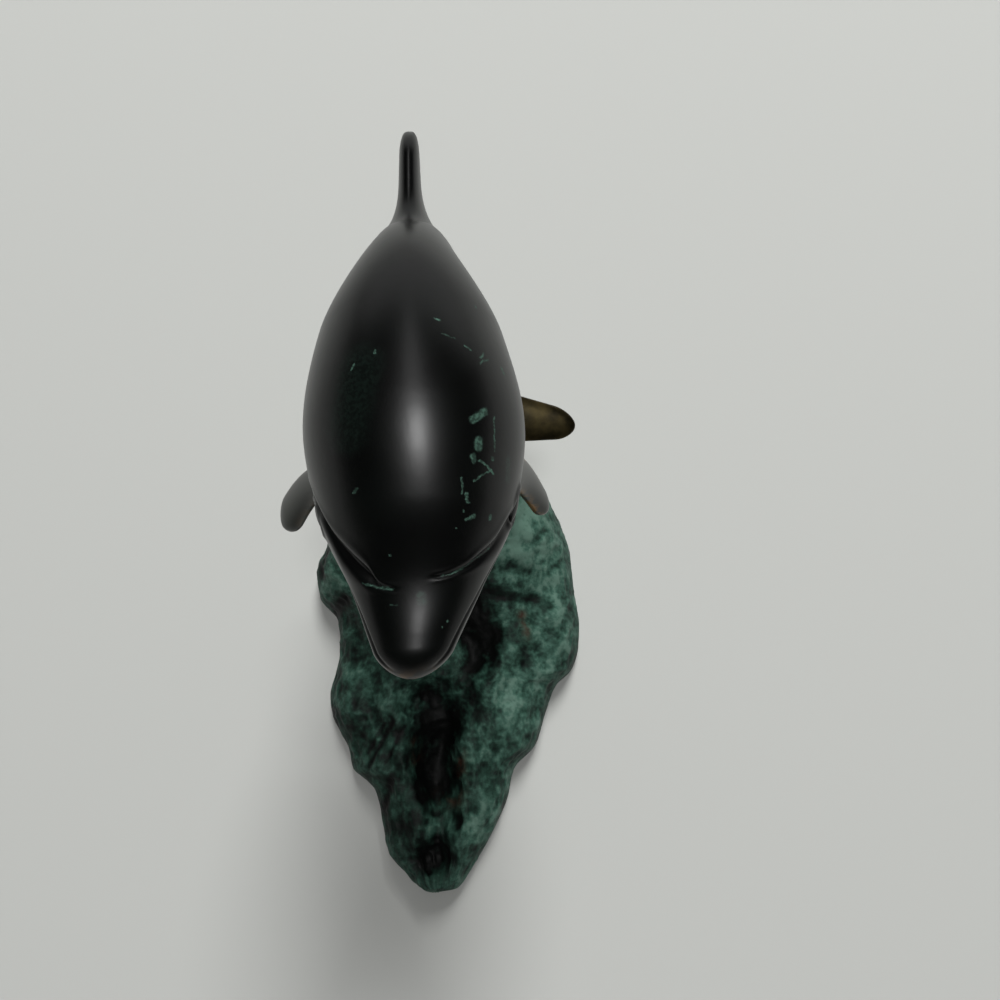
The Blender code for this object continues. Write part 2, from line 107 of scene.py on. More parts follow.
def face_outward(mesh):
    """Turn the whole mesh over if the volume that its faces enclose comes out negative. The volume is
    the sum over all triangles of (a . (b x c)) / 6."""
    mesh.calc_loop_triangles()
    corners = np.empty(len(mesh.vertices) * 3)
    mesh.vertices.foreach_get("co", corners)
    triangles = np.empty(len(mesh.loop_triangles) * 3, int)
    mesh.loop_triangles.foreach_get("vertices", triangles)
    a, b, c = corners.reshape(-1, 3)[triangles.reshape(-1, 3)].transpose(1, 0, 2)
    if (a * np.cross(b, c)).sum() < 0:
        mesh.flip_normals()


def store_on_corners(piece, name, values, kind="FLOAT"):
    """Keep a number, or a place, for each corner of the mesh, for a finish to read by this name."""
    layer = piece.data.attributes.new(name, kind, "POINT")
    key = "vector" if kind == "FLOAT_VECTOR" else "value"
    layer.data.foreach_set(key, np.ascontiguousarray(values, dtype=np.float32).ravel())


# %% [markdown]
# ## Smooth curves through a few measured places
#
# A sculptor measures a body at a few stations and blends between them. Straight lines between the
# stations would show as facets, and an ordinary spline can swing past them. The first curve takes each
# slope as the harmonic mean of the slopes beside it, so that it never bulges past a measurement. The
# second takes a plain weighted mean, and is for the line along the top of the back alone. It may bulge
# a hair, but its bend changes evenly, and a shine on a black back shows every uneven bend.

# %% Curves through measured places
def cubic_pieces(x, xs, ys, tangent):
    """Between two stations a cubic runs from the height and slope at one to those at the other."""
    x = np.clip(x, xs[0], xs[-1])
    piece = np.clip(np.searchsorted(xs, x, side="right") - 1, 0, len(xs) - 2)
    width = np.diff(xs)[piece]
    t = (x - xs[piece]) / width
    start = ys[piece] * (1 + 2 * t) * (1 - t) ** 2 + tangent[piece] * width * t * (1 - t) ** 2
    end = ys[piece + 1] * t * t * (3 - 2 * t) + tangent[piece + 1] * width * t * t * (t - 1)
    return start + end


def smooth(x, xs, ys):
    """Cubic pieces. Each station's slope is the harmonic mean of the slopes beside it, and zero where
    those two differ in sign, so that the curve never overshoots."""
    xs = np.asarray(xs, float)
    ys = np.asarray(ys, float)
    step = np.diff(xs)
    slope = np.diff(ys) / step
    turning = slope[:-1] * slope[1:] <= 0
    before = np.where(turning, 1.0, slope[:-1])
    after = np.where(turning, 1.0, slope[1:])
    left = 2 * step[1:] + step[:-1]
    right = step[1:] + 2 * step[:-1]
    mean = (left + right) / (left / before + right / after)
    tangent = np.concatenate(([slope[0]], np.where(turning, 0.0, mean), [slope[-1]]))
    return cubic_pieces(x, xs, ys, tangent)


def even_curve(x, xs, ys):
    """Cubic pieces. Each station's slope is the mean of the slopes beside it, each weighted by the
    other one's length, so that the bend changes evenly."""
    xs = np.asarray(xs, float)
    ys = np.asarray(ys, float)
    step = np.diff(xs)
    slope = np.diff(ys) / step
    mean = (step[1:] * slope[:-1] + step[:-1] * slope[1:]) / (step[1:] + step[:-1])
    return cubic_pieces(x, xs, ys, np.concatenate(([slope[0]], mean, [slope[-1]])))


def bump(x):
    """A hill of height one and width one: e to the power of minus x squared."""
    return np.exp(-x * x)


def unit(vectors):
    """The same directions with length one."""
    return vectors / np.linalg.norm(vectors, axis=-1, keepdims=True)


print("halfway from 1 to 4 in the row 0, 1, 4 the two curves give",
      [round(float(curve(1.5, [0, 1, 2], [0, 1, 4])), 3) for curve in (smooth, even_curve)])


# %% [markdown]
# ## The dolphin's centre line
#
# A leaping dolphin is a tapered body on a curved spine. The spine's heading is known at a few stations,
# and the spine itself is the sum of many short steps, each taken in the heading that holds there.
# This keeps its length true however much it curls. The casting stands centred over the origin, so
# the line is moved by the same amount as the casting was.

# %% The stations of the body and its centre line
# Each row: distance from the snout's tip, heading in degrees, half width, height above the line, depth
# below it, and drift to the right. Lengths are in metres.
STATIONS = np.array([
    (0.000, 5, 0.0052, 0.0038, 0.0034, -0.0015),
    (0.007, 0, 0.0081, 0.0054, 0.0050, -0.0009),
    (0.016, -1, 0.0119, 0.0078, 0.0076, -0.0001),
    (0.029, -3, 0.0179, 0.0155, 0.0135, 0.0003),
    (0.047, 1, 0.0210, 0.02025, 0.0195, 0.0002),
    (0.064, -10, 0.0182, 0.0193, 0.0188, 0.0000),
    (0.081, -41, 0.0108, 0.0156, 0.0155, 0.0002),
    (0.097, -72, 0.0081, 0.0115, 0.0118, 0.0006),
    (0.111, -105, 0.0064, 0.0090, 0.0088, 0.0012),
    (0.124, -136, 0.0046, 0.0064, 0.0064, 0.0018),
    (0.135, -157, 0.0036, 0.0038, 0.0038, 0.0022),
    (0.142, -160, 0.0030, 0.0020, 0.0020, 0.0024),
]).T
PLACES, HEADINGS, HALF_WIDTHS, HEIGHTS, DEPTHS, DRIFTS = STATIONS
TAIL_END = PLACES[-1]
NOSE_ROUNDING = 0.005
CENTRED_BY = np.array([0.000131, -0.002041, 0.0])
CREST_PLACE = (0.0010, 0.0475)
CREST_HEIGHT = 0.0680
CREST_CARRIES = 0.129
CREST_TO_LINE = 0.0015
FINE_STEPS = 1500

fine = np.linspace(0, TAIL_END, FINE_STEPS + 1)
fine_heading = np.radians(smooth(fine, PLACES, HEADINGS))
fine_step = np.diff(fine, prepend=0)
fine_y = np.cumsum(np.cos(fine_heading) * fine_step)
fine_z = np.cumsum(np.sin(fine_heading) * fine_step)
fine_y += CREST_PLACE[1] - np.interp(CREST_CARRIES, fine, fine_y) + CENTRED_BY[1]
fine_z += CREST_HEIGHT + CREST_TO_LINE - np.interp(CREST_CARRIES, fine, fine_z)


def centre_line(along):
    """The line's place and heading at distances from the snout's tip, read from the fine steps."""
    return [np.interp(along, fine, values) for values in (fine_y, fine_z, fine_heading)]


def sizes_at(along):
    """Half width, height above the line, depth below it and drift. Near the tip the first three
    shrink as a quarter of a circle does."""
    nose = 1 - np.minimum(along / NOSE_ROUNDING, 1)
    shrink = np.sqrt(np.maximum(1 - nose * nose, 1e-6))
    wide, below = [smooth(along, PLACES, sizes) * shrink for sizes in (HALF_WIDTHS, DEPTHS)]
    above = even_curve(along, PLACES, HEIGHTS) * shrink
    return wide, above, below, smooth(along, PLACES, DRIFTS) + CENTRED_BY[0]


def plain_skin(along, around):
    """A section is two half ovals: half width times cosine across, and height above the line, or
    depth below it, times sine upward."""
    y, z, heading = centre_line(along)
    wide, above, below, drift = sizes_at(along)
    up = np.where(np.sin(around) >= 0, above, below) * np.sin(around)
    return np.stack([drift + wide * np.cos(around), y - np.sin(heading) * up, z + np.cos(heading) * up], -1)


print("the snout's tip is", round(float(fine_z[0]) * 1000, 1), "mm above the ground")

# %% [markdown]
# ## The crease, the mouth and the eyelids
#
# The sculptor cut a curved crease where the round forehead meets the snout. It has two arms with a gap
# between them at the top. Each arm starts as a fine cut near the middle and widens into a folded groove
# with raised lips where it turns back to the eye. The line of the mouth is a shallow cut along the
# side. These are pulls and pushes on the skin, so they could be a bump picture, but cuts this wide
# catch real shadow, and modelling them keeps that from every side.

# %% Grooves as a push on the skin
# Where each arm of the crease runs: distance to the side, distance from the snout's tip, and width.
CREASE_LEFT = ((0.0, 0.0145, 0.0003), (0.0038, 0.0150, 0.0003), (0.0061, 0.0157, 0.0004),
               (0.0084, 0.0177, 0.0010), (0.0126, 0.0216, 0.0012), (0.0150, 0.0252, 0.0008),
               (0.0176, 0.0306, 0.0006), (0.0200, 0.0370, 0.0005))
CREASE_RIGHT = ((0.0, 0.0162, 0.0003), (0.0048, 0.0168, 0.0003), (0.0092, 0.0184, 0.0004),
                (0.0116, 0.0201, 0.0006), (0.0141, 0.0224, 0.0007), (0.0159, 0.0252, 0.0007),
                (0.0179, 0.0292, 0.0006), (0.0200, 0.0360, 0.0005))
CREASE_PLACE, CREASE_WIDTH = 1, 2
CREASE_GAP = 0.0036
GAP_EDGE = 0.0004
SIDES_BLEND_OVER = 0.0008
TOP_STARTS_OVER = 0.002
CREASE_STEEPNESS = 1.45
LIP_RISE = 0.00009
# The lips' place and width, counted in widths of the crease.
LIP_FROM_CREASE = 2.1
LIP_WIDTH = 0.8
# Where the mouth runs: distance from the snout's tip, and height over the widest line.
MOUTH = ((0.0012, 0.0020), (0.0050, 0.0019), (0.0100, 0.0017), (0.0140, 0.0012), (0.0200, 0.0002),
         (0.0250, -0.0008))
MOUTH_DEPTH = 0.00040
MOUTH_WIDTH = 0.00040
MOUTH_FRONT_FADE = 0.002
MOUTH_REAR_FADE = 0.003


def sides_blend(across, column):
    """One column of both crease tables at distances to the right of the middle, blended over the
    middle by an S-shaped share."""
    aside = np.abs(across)
    left = smooth(aside, [step[0] for step in CREASE_LEFT], [step[column] for step in CREASE_LEFT])
    right = smooth(aside, [step[0] for step in CREASE_RIGHT], [step[column] for step in CREASE_RIGHT])
    return left + (right - left) / (1 + np.exp(-across / SIDES_BLEND_OVER))


def groove_push(along, across, upward):
    """How far the skin moves out (positive) or in (negative). The crease is a bump in its distance
    behind the crease line, as deep as it is wide, with a low lip on either side. The mouth is a
    bump in the height over the mouth line."""
    on_top = np.clip(upward / TOP_STARTS_OVER, 0, 1)
    arm = on_top / (1 + np.exp(-(np.abs(across) - CREASE_GAP) / GAP_EDGE))
    width = sides_blend(across, CREASE_WIDTH)
    behind = (along - sides_blend(across, CREASE_PLACE)) / width
    push = -CREASE_STEEPNESS * width * bump(behind) * arm
    lips = bump((behind - LIP_FROM_CREASE) / LIP_WIDTH) + bump((behind + LIP_FROM_CREASE) / LIP_WIDTH)
    push = push + LIP_RISE * lips * arm
    over_mouth = upward - smooth(along, *zip(*MOUTH))
    front = np.clip((along - MOUTH[0][0]) / MOUTH_FRONT_FADE, 0, 1)
    rear = np.clip((MOUTH[-1][0] - along) / MOUTH_REAR_FADE, 0, 1)
    return push - MOUTH_DEPTH * bump(over_mouth / MOUTH_WIDTH) * (front * rear)


widest = max(step[CREASE_WIDTH] for step in CREASE_LEFT)
print("the crease is cut up to", round(CREASE_STEEPNESS * widest * 1000, 2), "mm deep")


# %% [markdown]
# ## The dolphin's body
#
# The body is one skin on the centre line. Its rings lie closest together at the snout, where the
# grooves are, and bend back along the crease, so that the cut follows the mesh and doesn't step
# across it. An eyelid rim is pushed out around each eye.

# %% The raised lids around the eyes
EYE_FROM_TIP = 0.0305
EYE_ANGLE = math.radians(4)
EYE_LENGTH = 0.0060
EYE_HEIGHT = 0.0032
EYELID_RISE = 0.00035
EYELID_REACH = 1.25
EYELID_WIDTH = 0.22
SOCKET_REACH = 0.9


def eyelid_push(along, around):
    """A raised almond rim: a bump in the distance from the almond's edge, less one over the eye. The
    reach is one at the almond's edge."""
    wide = sizes_at(along)[0]
    lift = np.where(np.cos(around) >= 0, around, math.pi - around)
    lift = (np.mod(lift + math.pi, 2 * math.pi) - math.pi - EYE_ANGLE) * wide
    reach = np.hypot((along - EYE_FROM_TIP) / (EYE_LENGTH / 2), lift / (EYE_HEIGHT / 2))
    rim = bump((reach - EYELID_REACH) / EYELID_WIDTH)
    return EYELID_RISE * rim - EYELID_RISE * bump(reach / SOCKET_REACH)


# %% Make the body
BODY_RINGS = 370
BODY_SIDES = 260
RING_CROWDING = 1.3
RING_BEND_REACH = 0.010
FIRST_RING = 0.000002
# Gold shows at the snout's tip over this length, and its upper side is held back by as much again.
TIP_WEAR = 0.0017
TIP_WEAR_HELD_BACK = 0.0017


def body_skin(along, around):
    """The plain skin, moved along the line from the section's middle by the grooves and the lids."""
    plain = plain_skin(along, around)
    y, z, heading = centre_line(along)
    drift = sizes_at(along)[3]
    middle = np.stack([drift, y, z], -1)
    straight_out = plain - middle
    across = straight_out[..., 0]
    upward = straight_out[..., 2] * np.cos(heading) - straight_out[..., 1] * np.sin(heading)
    push = groove_push(along, across, upward) + eyelid_push(along, around)
    return plain + unit(straight_out) * push[..., None]


ring_places = TAIL_END * np.linspace(0.0, 1, BODY_RINGS) ** RING_CROWDING
ring_places[0] = FIRST_RING
side_angles = np.linspace(0, 2 * math.pi, BODY_SIDES, endpoint=False)
along, around = np.meshgrid(ring_places, side_angles, indexing="ij")
across = smooth(along, PLACES, HALF_WIDTHS) * np.cos(around)
bend = sides_blend(across, CREASE_PLACE) - sides_blend(0 * across, CREASE_PLACE)
bend = bend * np.maximum(np.sin(around), 0) ** 0.5
along = along + bend * bump((along - sides_blend(0 * along, CREASE_PLACE)) / RING_BEND_REACH)
dolphin_body = piece_from_grid("dolphin_body", body_skin(along, around), closed_around=True)
store_on_corners(dolphin_body, "before_carving", plain_skin(along, around), "FLOAT_VECTOR")
from_worn_tip = along + TIP_WEAR_HELD_BACK * np.maximum(np.sin(around), 0)
store_on_corners(dolphin_body, "worn", bump(from_worn_tip / TIP_WEAR))

# %% [markdown]
# ## Standing a fin on a round body
#
# A cast fin doesn't stand on the body like a stuck-on plate. The wax was smoothed with a thumb where
# the two meet, so the skin sweeps up into the fin. To model that, the body's skin has to be known as
# a rule that works for any point: how far outside the skin is it? With that rule, a fin's lines are
# run down until they meet the skin, and a short curve turns each one out along the skin.

# %% How far a point is outside the skin
PROBE_STEP = 0.0004
SKIN_CORRECTIONS = 5


def height_over_skin(points):
    """Take the nearest place on the centre line, read the section there, and compare the point's
    distance from the line with the oval's distance in the same direction."""
    flat = points.reshape(-1, 3)
    gap = (flat[:, 1, None] - fine_y) ** 2 + (flat[:, 2, None] - fine_z) ** 2
    near = gap.argmin(axis=1)
    along = fine[near]
    wide, above, below, drift = sizes_at(along)
    across = flat[:, 0] - drift
    up = (flat[:, 2] - fine_z[near]) * np.cos(fine_heading[near])
    up -= (flat[:, 1] - fine_y[near]) * np.sin(fine_heading[near])
    high = np.where(up >= 0, above, below)
    share = np.sqrt((across / wide) ** 2 + (up / high) ** 2)
    return (np.hypot(across, up) * (1 - 1 / np.maximum(share, 1e-3))).reshape(points.shape[:-1])


def away_from_skin(points):
    """The direction in which the height over the skin grows fastest, from small steps each way."""
    slopes = [height_over_skin(points + step) - height_over_skin(points - step)
              for step in PROBE_STEP * np.eye(3)]
    return unit(np.stack(slopes, -1))


def onto_skin(points):
    """Move points straight on to the skin, in a few corrections."""
    for _ in range(SKIN_CORRECTIONS):
        points = points - height_over_skin(points)[..., None] * away_from_skin(points)
    return points


probes = plain_skin(np.linspace(0.02, 0.12, 60), np.linspace(0, 2 * math.pi, 60))
off_by = float(np.abs(height_over_skin(probes)).max())
print("on the skin itself the rule is off by at most", round(off_by * 1000, 3), "mm")


# %% [markdown]
# ## Fins
#
# All fins share one recipe: lens-shaped sections in a row from inside the body to a rounded tip. The
# front edge of a section is blunter than its rear edge, as on a swimming animal. The root is curved
# out on to the skin by a curve with three guides: a point up the fin, the corner where fin and skin
# would meet, and a point out on the skin.

# %% The blade of a fin
BLUNT_FRONT = 0.25
SWEEP_POWER = 1.6
TIP_FULLNESS = 0.6


def blade_point(share, turn, fin):
    """Root + outward * length * share + backward * (sweep * share^1.6 + bulge * sin(pi * share))
    + flat * bow * sin(pi * share), plus the lens section: half chord * cos(turn) backward, and half
    thickness * sin(turn) * (1 - blunt * cos(turn)) sideways. The section closes at the tip as a
    quarter of a circle does."""
    flat = np.cross(fin["outward"], fin["backward"])
    positive = np.clip(share, 0, 1)
    rounding = fin["tip_chord"] / 2 / fin["length"]
    close = np.sqrt(np.maximum(1 - np.clip((share - 1 + rounding) / rounding, 0, 1) ** 2, 1e-5))
    half_chord = (fin["chord"] + (fin["tip_chord"] - fin["chord"]) * positive) * close / 2
    half_thick = fin["thickness"] / 2 * (1 - fin["thinning"] * positive) * close ** TIP_FULLNESS
    arch = np.sin(math.pi * positive)
    chordwise = fin["sweep"] * positive ** SWEEP_POWER + fin["bulge"] * arch + half_chord * np.cos(turn)
    through = half_thick * np.sin(turn) * (1 - BLUNT_FRONT * np.cos(turn)) + fin["bow"] * arch
    lengthwise = fin["length"] * share
    return (fin["root"] + lengthwise[..., None] * fin["outward"]
            + chordwise[..., None] * fin["backward"] + through[..., None] * flat)


# %% From a blade to a fin on the body
FIN_COLUMNS = 96
FIN_ROWS = 70
FLARE_ROWS = 14
SEARCH_FROM = -0.30
SEARCH_TO = 0.85
HALVINGS = 16
UNDER_SKIN = 0.00004
TUCKED_UNDER = 0.0006
WORN_EDGE_SHARPNESS = 10


def make_fin(name, fin):
    """Find the share at which each line meets the skin by halving an interval. Above that, rows go up
    to the tip. Below, each line follows (1 - t)^2 A + 2 t (1 - t) B + t^2 C: up the fin, corner, skin."""
    turn = np.linspace(0, 2 * math.pi, FIN_COLUMNS, endpoint=False)
    low = np.full(FIN_COLUMNS, SEARCH_FROM)
    high = np.full(FIN_COLUMNS, SEARCH_TO)
    for _ in range(HALVINGS):
        middle = (low + high) / 2
        outside = height_over_skin(blade_point(middle, turn, fin)) > 0
        high = np.where(outside, middle, high)
        low = np.where(outside, low, middle)
    meeting = (low + high) / 2
    flare = fin["flare"]
    start = meeting + flare / fin["length"]
    rise = np.sin(np.linspace(0, math.pi / 2, FIN_ROWS))[::-1, None]
    rows = blade_point(start + (1 - start) * rise, np.broadcast_to(turn, (FIN_ROWS, FIN_COLUMNS)), fin)
    up_the_fin = rows[-1]
    corner = blade_point(meeting, turn, fin)
    thinnest = {**fin, "chord": 0.0, "tip_chord": 1e-6, "thickness": 0.0}
    sideways = unit(corner - blade_point(meeting, turn, thinnest))
    normal = away_from_skin(corner)
    sideways = unit(sideways - (sideways * normal).sum(-1, keepdims=True) * normal)
    on_skin = onto_skin(corner + sideways * flare)
    on_skin = on_skin - UNDER_SKIN * away_from_skin(on_skin)
    t = np.linspace(0, 1, FLARE_ROWS)[1:, None, None]
    sweep_out = (1 - t) ** 2 * up_the_fin + 2 * t * (1 - t) * corner + t * t * on_skin
    tucked = on_skin - TUCKED_UNDER * away_from_skin(on_skin)
    grid = np.concatenate([rows, sweep_out, tucked[None]])
    made = piece_from_grid(name, grid, closed_around=True)
    blade = np.concatenate([np.ones(FIN_ROWS), np.linspace(1, 0, FLARE_ROWS)])
    edges = np.abs(np.cos(turn)) ** WORN_EDGE_SHARPNESS
    store_on_corners(made, "worn", fin["wear"] * np.outer(blade, edges))
    # A painted reflection greys each flipper's blade and fades out over its root. The dorsal fin has none.
    store_on_corners(made, "painted_reflection", fin["painted_reflection"] * np.outer(blade, np.ones(FIN_COLUMNS)))
    return made


# %% [markdown]
# ## The dorsal fin
#
# It stands square to the back, behind the top of the curl, so the camera sees it edge on as a slim
# upright blade with a blunt tip and a wide soft root.

# %% Make the dorsal fin
DORSAL_FROM_TIP = 0.090
DORSAL_ASIDE = -0.0004
DORSAL_SINK = 0.0030
DORSAL_LEAN = 0.0007
DORSAL_HEIGHT = 0.0180


def frame_at(along):
    """The line's point at one distance, the direction that the line runs in, and the body's up."""
    y, z, heading = centre_line(along)
    point = np.array([sizes_at(np.array([along]))[3][0], y, z])
    forward = np.array([0, np.cos(heading), np.sin(heading)])
    return point, forward, np.array([0, -np.sin(heading), np.cos(heading)])


def make_dorsal_fin():
    """Root on the back, outward along the body's up, backward along the line."""
    point, forward, up = frame_at(DORSAL_FROM_TIP)
    above = float(sizes_at(np.array([DORSAL_FROM_TIP]))[1][0])
    return make_fin("dorsal_fin", {
        "root": point + up * (above - DORSAL_SINK) + np.array([DORSAL_ASIDE, 0, 0]),
        "outward": unit(up + np.array([DORSAL_LEAN / DORSAL_HEIGHT, 0, 0])),
        "backward": forward,
        "length": DORSAL_HEIGHT + DORSAL_SINK,
        "chord": 0.0185,
        "tip_chord": 0.0090,
        "thickness": 0.0053,
        "thinning": 0.30,
        "wear": 0.0,
        "painted_reflection": 0.0,
        "sweep": 0.0035,
        "bulge": 0.0,
        "bow": 0.0,
        "flare": 0.0078,
    })


dorsal_fin = make_dorsal_fin()

# %% [markdown]
# ## The flippers
#
# A flipper grows from each flank below the widest line and hangs outward, forward and down. Its rear
# edge bulges like a petal's. The left one stands out and leans ahead further than the right one, as on
# the real casting, where nothing is quite alike. So each has its own sizes, in one table.

# %% Make both flippers
FLIPPER_FROM_TIP = 0.0395
FLIPPER_ANGLE = math.radians(-30)
FLIPPER_SINK = 0.0027
# Angles are in degrees: out from straight down, ahead, and how far the chord toes out.
FLIPPERS = {
    -1: {"out": 33.9, "ahead": 19.9, "toe": 17.7, "length": 0.0208, "chord": 0.0060, "tip_chord": 0.0084,
         "sweep": 0.0029, "bulge": 0.0029, "backward_shift": 0.0013, "wear": 0.10},
    1: {"out": 19.1, "ahead": 7.0, "toe": 13.8, "length": 0.0230, "chord": 0.0083, "tip_chord": 0.0056,
        "sweep": 0.0012, "bulge": 0.0027, "backward_shift": 0.0004, "wear": 1.0},
}


def make_flipper(side, name):
    """Side is +1 on the right and -1 on the left. Outward leans from straight down by the out angle,
    and forward by the ahead angle. The chord lies square to it, toed out."""
    own = FLIPPERS[side]
    around = FLIPPER_ANGLE if side > 0 else math.pi - FLIPPER_ANGLE
    root = plain_skin(np.array([FLIPPER_FROM_TIP]), np.array([around]))[0]
    out, ahead, toe = [math.radians(own[key]) for key in ("out", "ahead", "toe")]
    outward = np.array([side * math.sin(out) * math.cos(ahead), -math.sin(ahead),
                        -math.cos(out) * math.cos(ahead)])
    rear = np.array([side * math.sin(toe), math.cos(toe), 0.0])
    backward = unit(rear - outward * np.dot(rear, outward))
    return make_fin(name, {
        **own,
        "root": root - outward * FLIPPER_SINK + backward * own["backward_shift"],
        "outward": outward,
        "backward": backward,
        "length": own["length"] + FLIPPER_SINK,
        "thickness": 0.0042,
        "thinning": 0.14,
        # The flippers carry the painted reflection in full.
        "painted_reflection": 1.0,
        "bow": -side * 0.0009,
        "flare": 0.0024,
    })


flipper_left = make_flipper(-1, "flipper_left")
flipper_right = make_flipper(1, "flipper_right")

# %% [markdown]
# ## The flukes
#
# Both flukes are one blade across the end of the tail. The front edge falls back in a straight line to
# blunt tips, and the rear edge is straight with a small notch in the middle. The tail's own ridge runs
# out over the blade.

# %% Make the flukes
FLUKE_SPAN = 0.0680
FLUKE_CHORD = 0.0182
FLUKE_TIP_CHORD = 0.0068
FLUKE_REAR = 0.0042
FLUKE_NOTCH = 0.0030
FLUKE_NOTCH_WIDTH = 0.0040
FLUKE_THICKNESS = 0.0036
FLUKE_DROOP = 0.0020
FLUKE_RIDGE = 0.0014
FLUKE_RIDGE_WIDTH = 0.0065
FLUKE_THINNING = 0.35
FLUKE_BLUNT_FRONT = 0.2
FLUKE_TIP_ROUNDING = 1.5
FLUKE_ROWS_REACH = 0.995
FLUKE_ROWS = 150
FLUKE_COLUMNS = 72


def fluke_grid():
    """At the share s from the middle to a tip the chord runs from the front edge to the rear edge and
    closes as a quarter circle at the tip. The section is an oval, thicker on the middle ridge."""
    point, forward, up = frame_at(TAIL_END)
    turn = np.linspace(0, 2 * math.pi, FLUKE_COLUMNS, endpoint=False)
    share = np.sin(np.linspace(-0.5, 0.5, FLUKE_ROWS) * math.pi * FLUKE_ROWS_REACH)
    size = np.abs(share)
    from_middle = share * FLUKE_SPAN / 2
    front = FLUKE_REAR - FLUKE_CHORD + (FLUKE_CHORD - FLUKE_TIP_CHORD) * size
    rear = FLUKE_REAR - FLUKE_NOTCH * bump(from_middle / FLUKE_NOTCH_WIDTH)
    rounding = FLUKE_TIP_CHORD / FLUKE_SPAN * FLUKE_TIP_ROUNDING
    close = np.sqrt(1 - np.clip((size - 1 + rounding) / rounding, 0, 0.9999) ** 2)
    half_chord = (rear - front) / 2 * close
    half_thick = FLUKE_THICKNESS / 2 * (1 - FLUKE_THINNING * size) * close ** TIP_FULLNESS
    half_thick = half_thick + FLUKE_RIDGE * bump(from_middle / FLUKE_RIDGE_WIDTH)
    centre = point + np.outer(from_middle, [1, 0, 0]) + np.outer((front + rear) / 2, forward)
    centre = centre + np.outer(FLUKE_DROOP * size ** 2, up)
    chordwise = half_chord[:, None] * np.cos(turn)
    through = half_thick[:, None] * np.sin(turn) * (1 - FLUKE_BLUNT_FRONT * np.cos(turn))
    return centre[:, None] + chordwise[..., None] * forward + through[..., None] * up


flukes = piece_from_grid("flukes", fluke_grid(), closed_around=True)

# %% [markdown]
# ## The eyes
#
# Each eye is a low almond dome inside its raised lid, cast with the rest and coloured with it. It could
# be a squashed ball, but a dome laid out on the skin itself follows the head's curve.

# %% Make both eyes
EYE_BULGE = 0.0005
EYE_ALMOND = 1.3
EYE_RIM_SUNK = 0.0001
# Outside the almond a last ring goes this far out, and down inside the body.
EYE_SKIRT = 1.04
EYE_SKIRT_SUNK = 0.0012
EYE_COLUMNS = 48
EYE_ROWS = 22
EYE_INNERMOST = 0.0004


def make_eye(side, name):
    """The almond's outline is cos(turn) long and |sin(turn)|^1.3 high. The dome's height is one minus
    the square of the distance from the middle, measured away from the skin."""
    centre_angle = EYE_ANGLE if side > 0 else math.pi - EYE_ANGLE
    turn = np.linspace(0, 2 * math.pi, EYE_COLUMNS, endpoint=False)
    reach = np.concatenate(([EYE_SKIRT], np.sqrt(np.linspace(1, EYE_INNERMOST, EYE_ROWS))))[:, None]
    along = EYE_FROM_TIP + reach * np.cos(turn) * EYE_LENGTH / 2
    high = reach * np.sign(np.sin(turn)) * np.abs(np.sin(turn)) ** EYE_ALMOND * EYE_HEIGHT / 2
    around = centre_angle + side * high / sizes_at(along)[0]
    flat = plain_skin(along, around)
    rise = EYE_BULGE * (1 - reach ** 2) - EYE_RIM_SUNK
    rise = np.where(reach > 1, -EYE_SKIRT_SUNK, rise) * np.ones_like(turn)
    return piece_from_grid(name, flat + rise[..., None] * away_from_skin(flat), closed_around=True)


eye_left = make_eye(-1, "eye_left")
eye_right = make_eye(1, "eye_right")

# %% [markdown]
# ## The wave's main form
#
# The wave climbs from a narrow tongue in front to the crest under the tail, and drops steeply behind.
# Its skin is stretched between a left and a right foot line. The height at a point follows from its
# distance to the crest, with a broad trough down the middle of the face and hollows at its foot.

# %% The foot lines and the fall from the crest
# Each row: a point of the left foot line and one of the right, from behind to the front.
WAVE_FOOT = np.array([
    (0.0010, 0.0740, 0.0010, 0.0740),
    (-0.0130, 0.0710, 0.0135, 0.0710),
    (-0.0215, 0.0600, 0.0188, 0.0600),
    (-0.0270, 0.0450, 0.0232, 0.0460),
    (-0.0315, 0.0310, 0.0300, 0.0350),
    (-0.0365, 0.0190, 0.0352, 0.0240),
    (-0.0393, 0.0115, 0.0378, 0.0140),
    (-0.0385, 0.0050, 0.0382, 0.0040),
    (-0.0330, -0.0030, 0.0390, -0.0060),
    (-0.0325, -0.0120, 0.0385, -0.0130),
    (-0.0356, -0.0240, 0.0360, -0.0200),
    (-0.0350, -0.0300, 0.0310, -0.0245),
    (-0.0305, -0.0390, 0.0275, -0.0320),
    (-0.0290, -0.0450, 0.0240, -0.0410),
    (-0.0225, -0.0520, 0.0170, -0.0480),
    (-0.0208, -0.0610, 0.0152, -0.0550),
    (-0.0195, -0.0680, 0.0115, -0.0625),
    (-0.0150, -0.0740, 0.0060, -0.0710),
    (-0.0105, -0.0778, -0.0005, -0.0785),
    (-0.0060, -0.0795, -0.0060, -0.0795),
]).T
CREST_DOME = 0.0025
# Heights over the ground by the distance from the crest.
WAVE_FALL = ((0.000, CREST_HEIGHT), (0.008, CREST_HEIGHT - CREST_DOME), (0.020, 0.0440), (0.035, 0.0300),
             (0.060, 0.0205), (0.090, 0.0160), (0.115, 0.0125), (0.140, 0.0090))
print("the wave's foot is", round((WAVE_FOOT[1].max() - WAVE_FOOT[1].min()) * 1000, 1), "mm long")

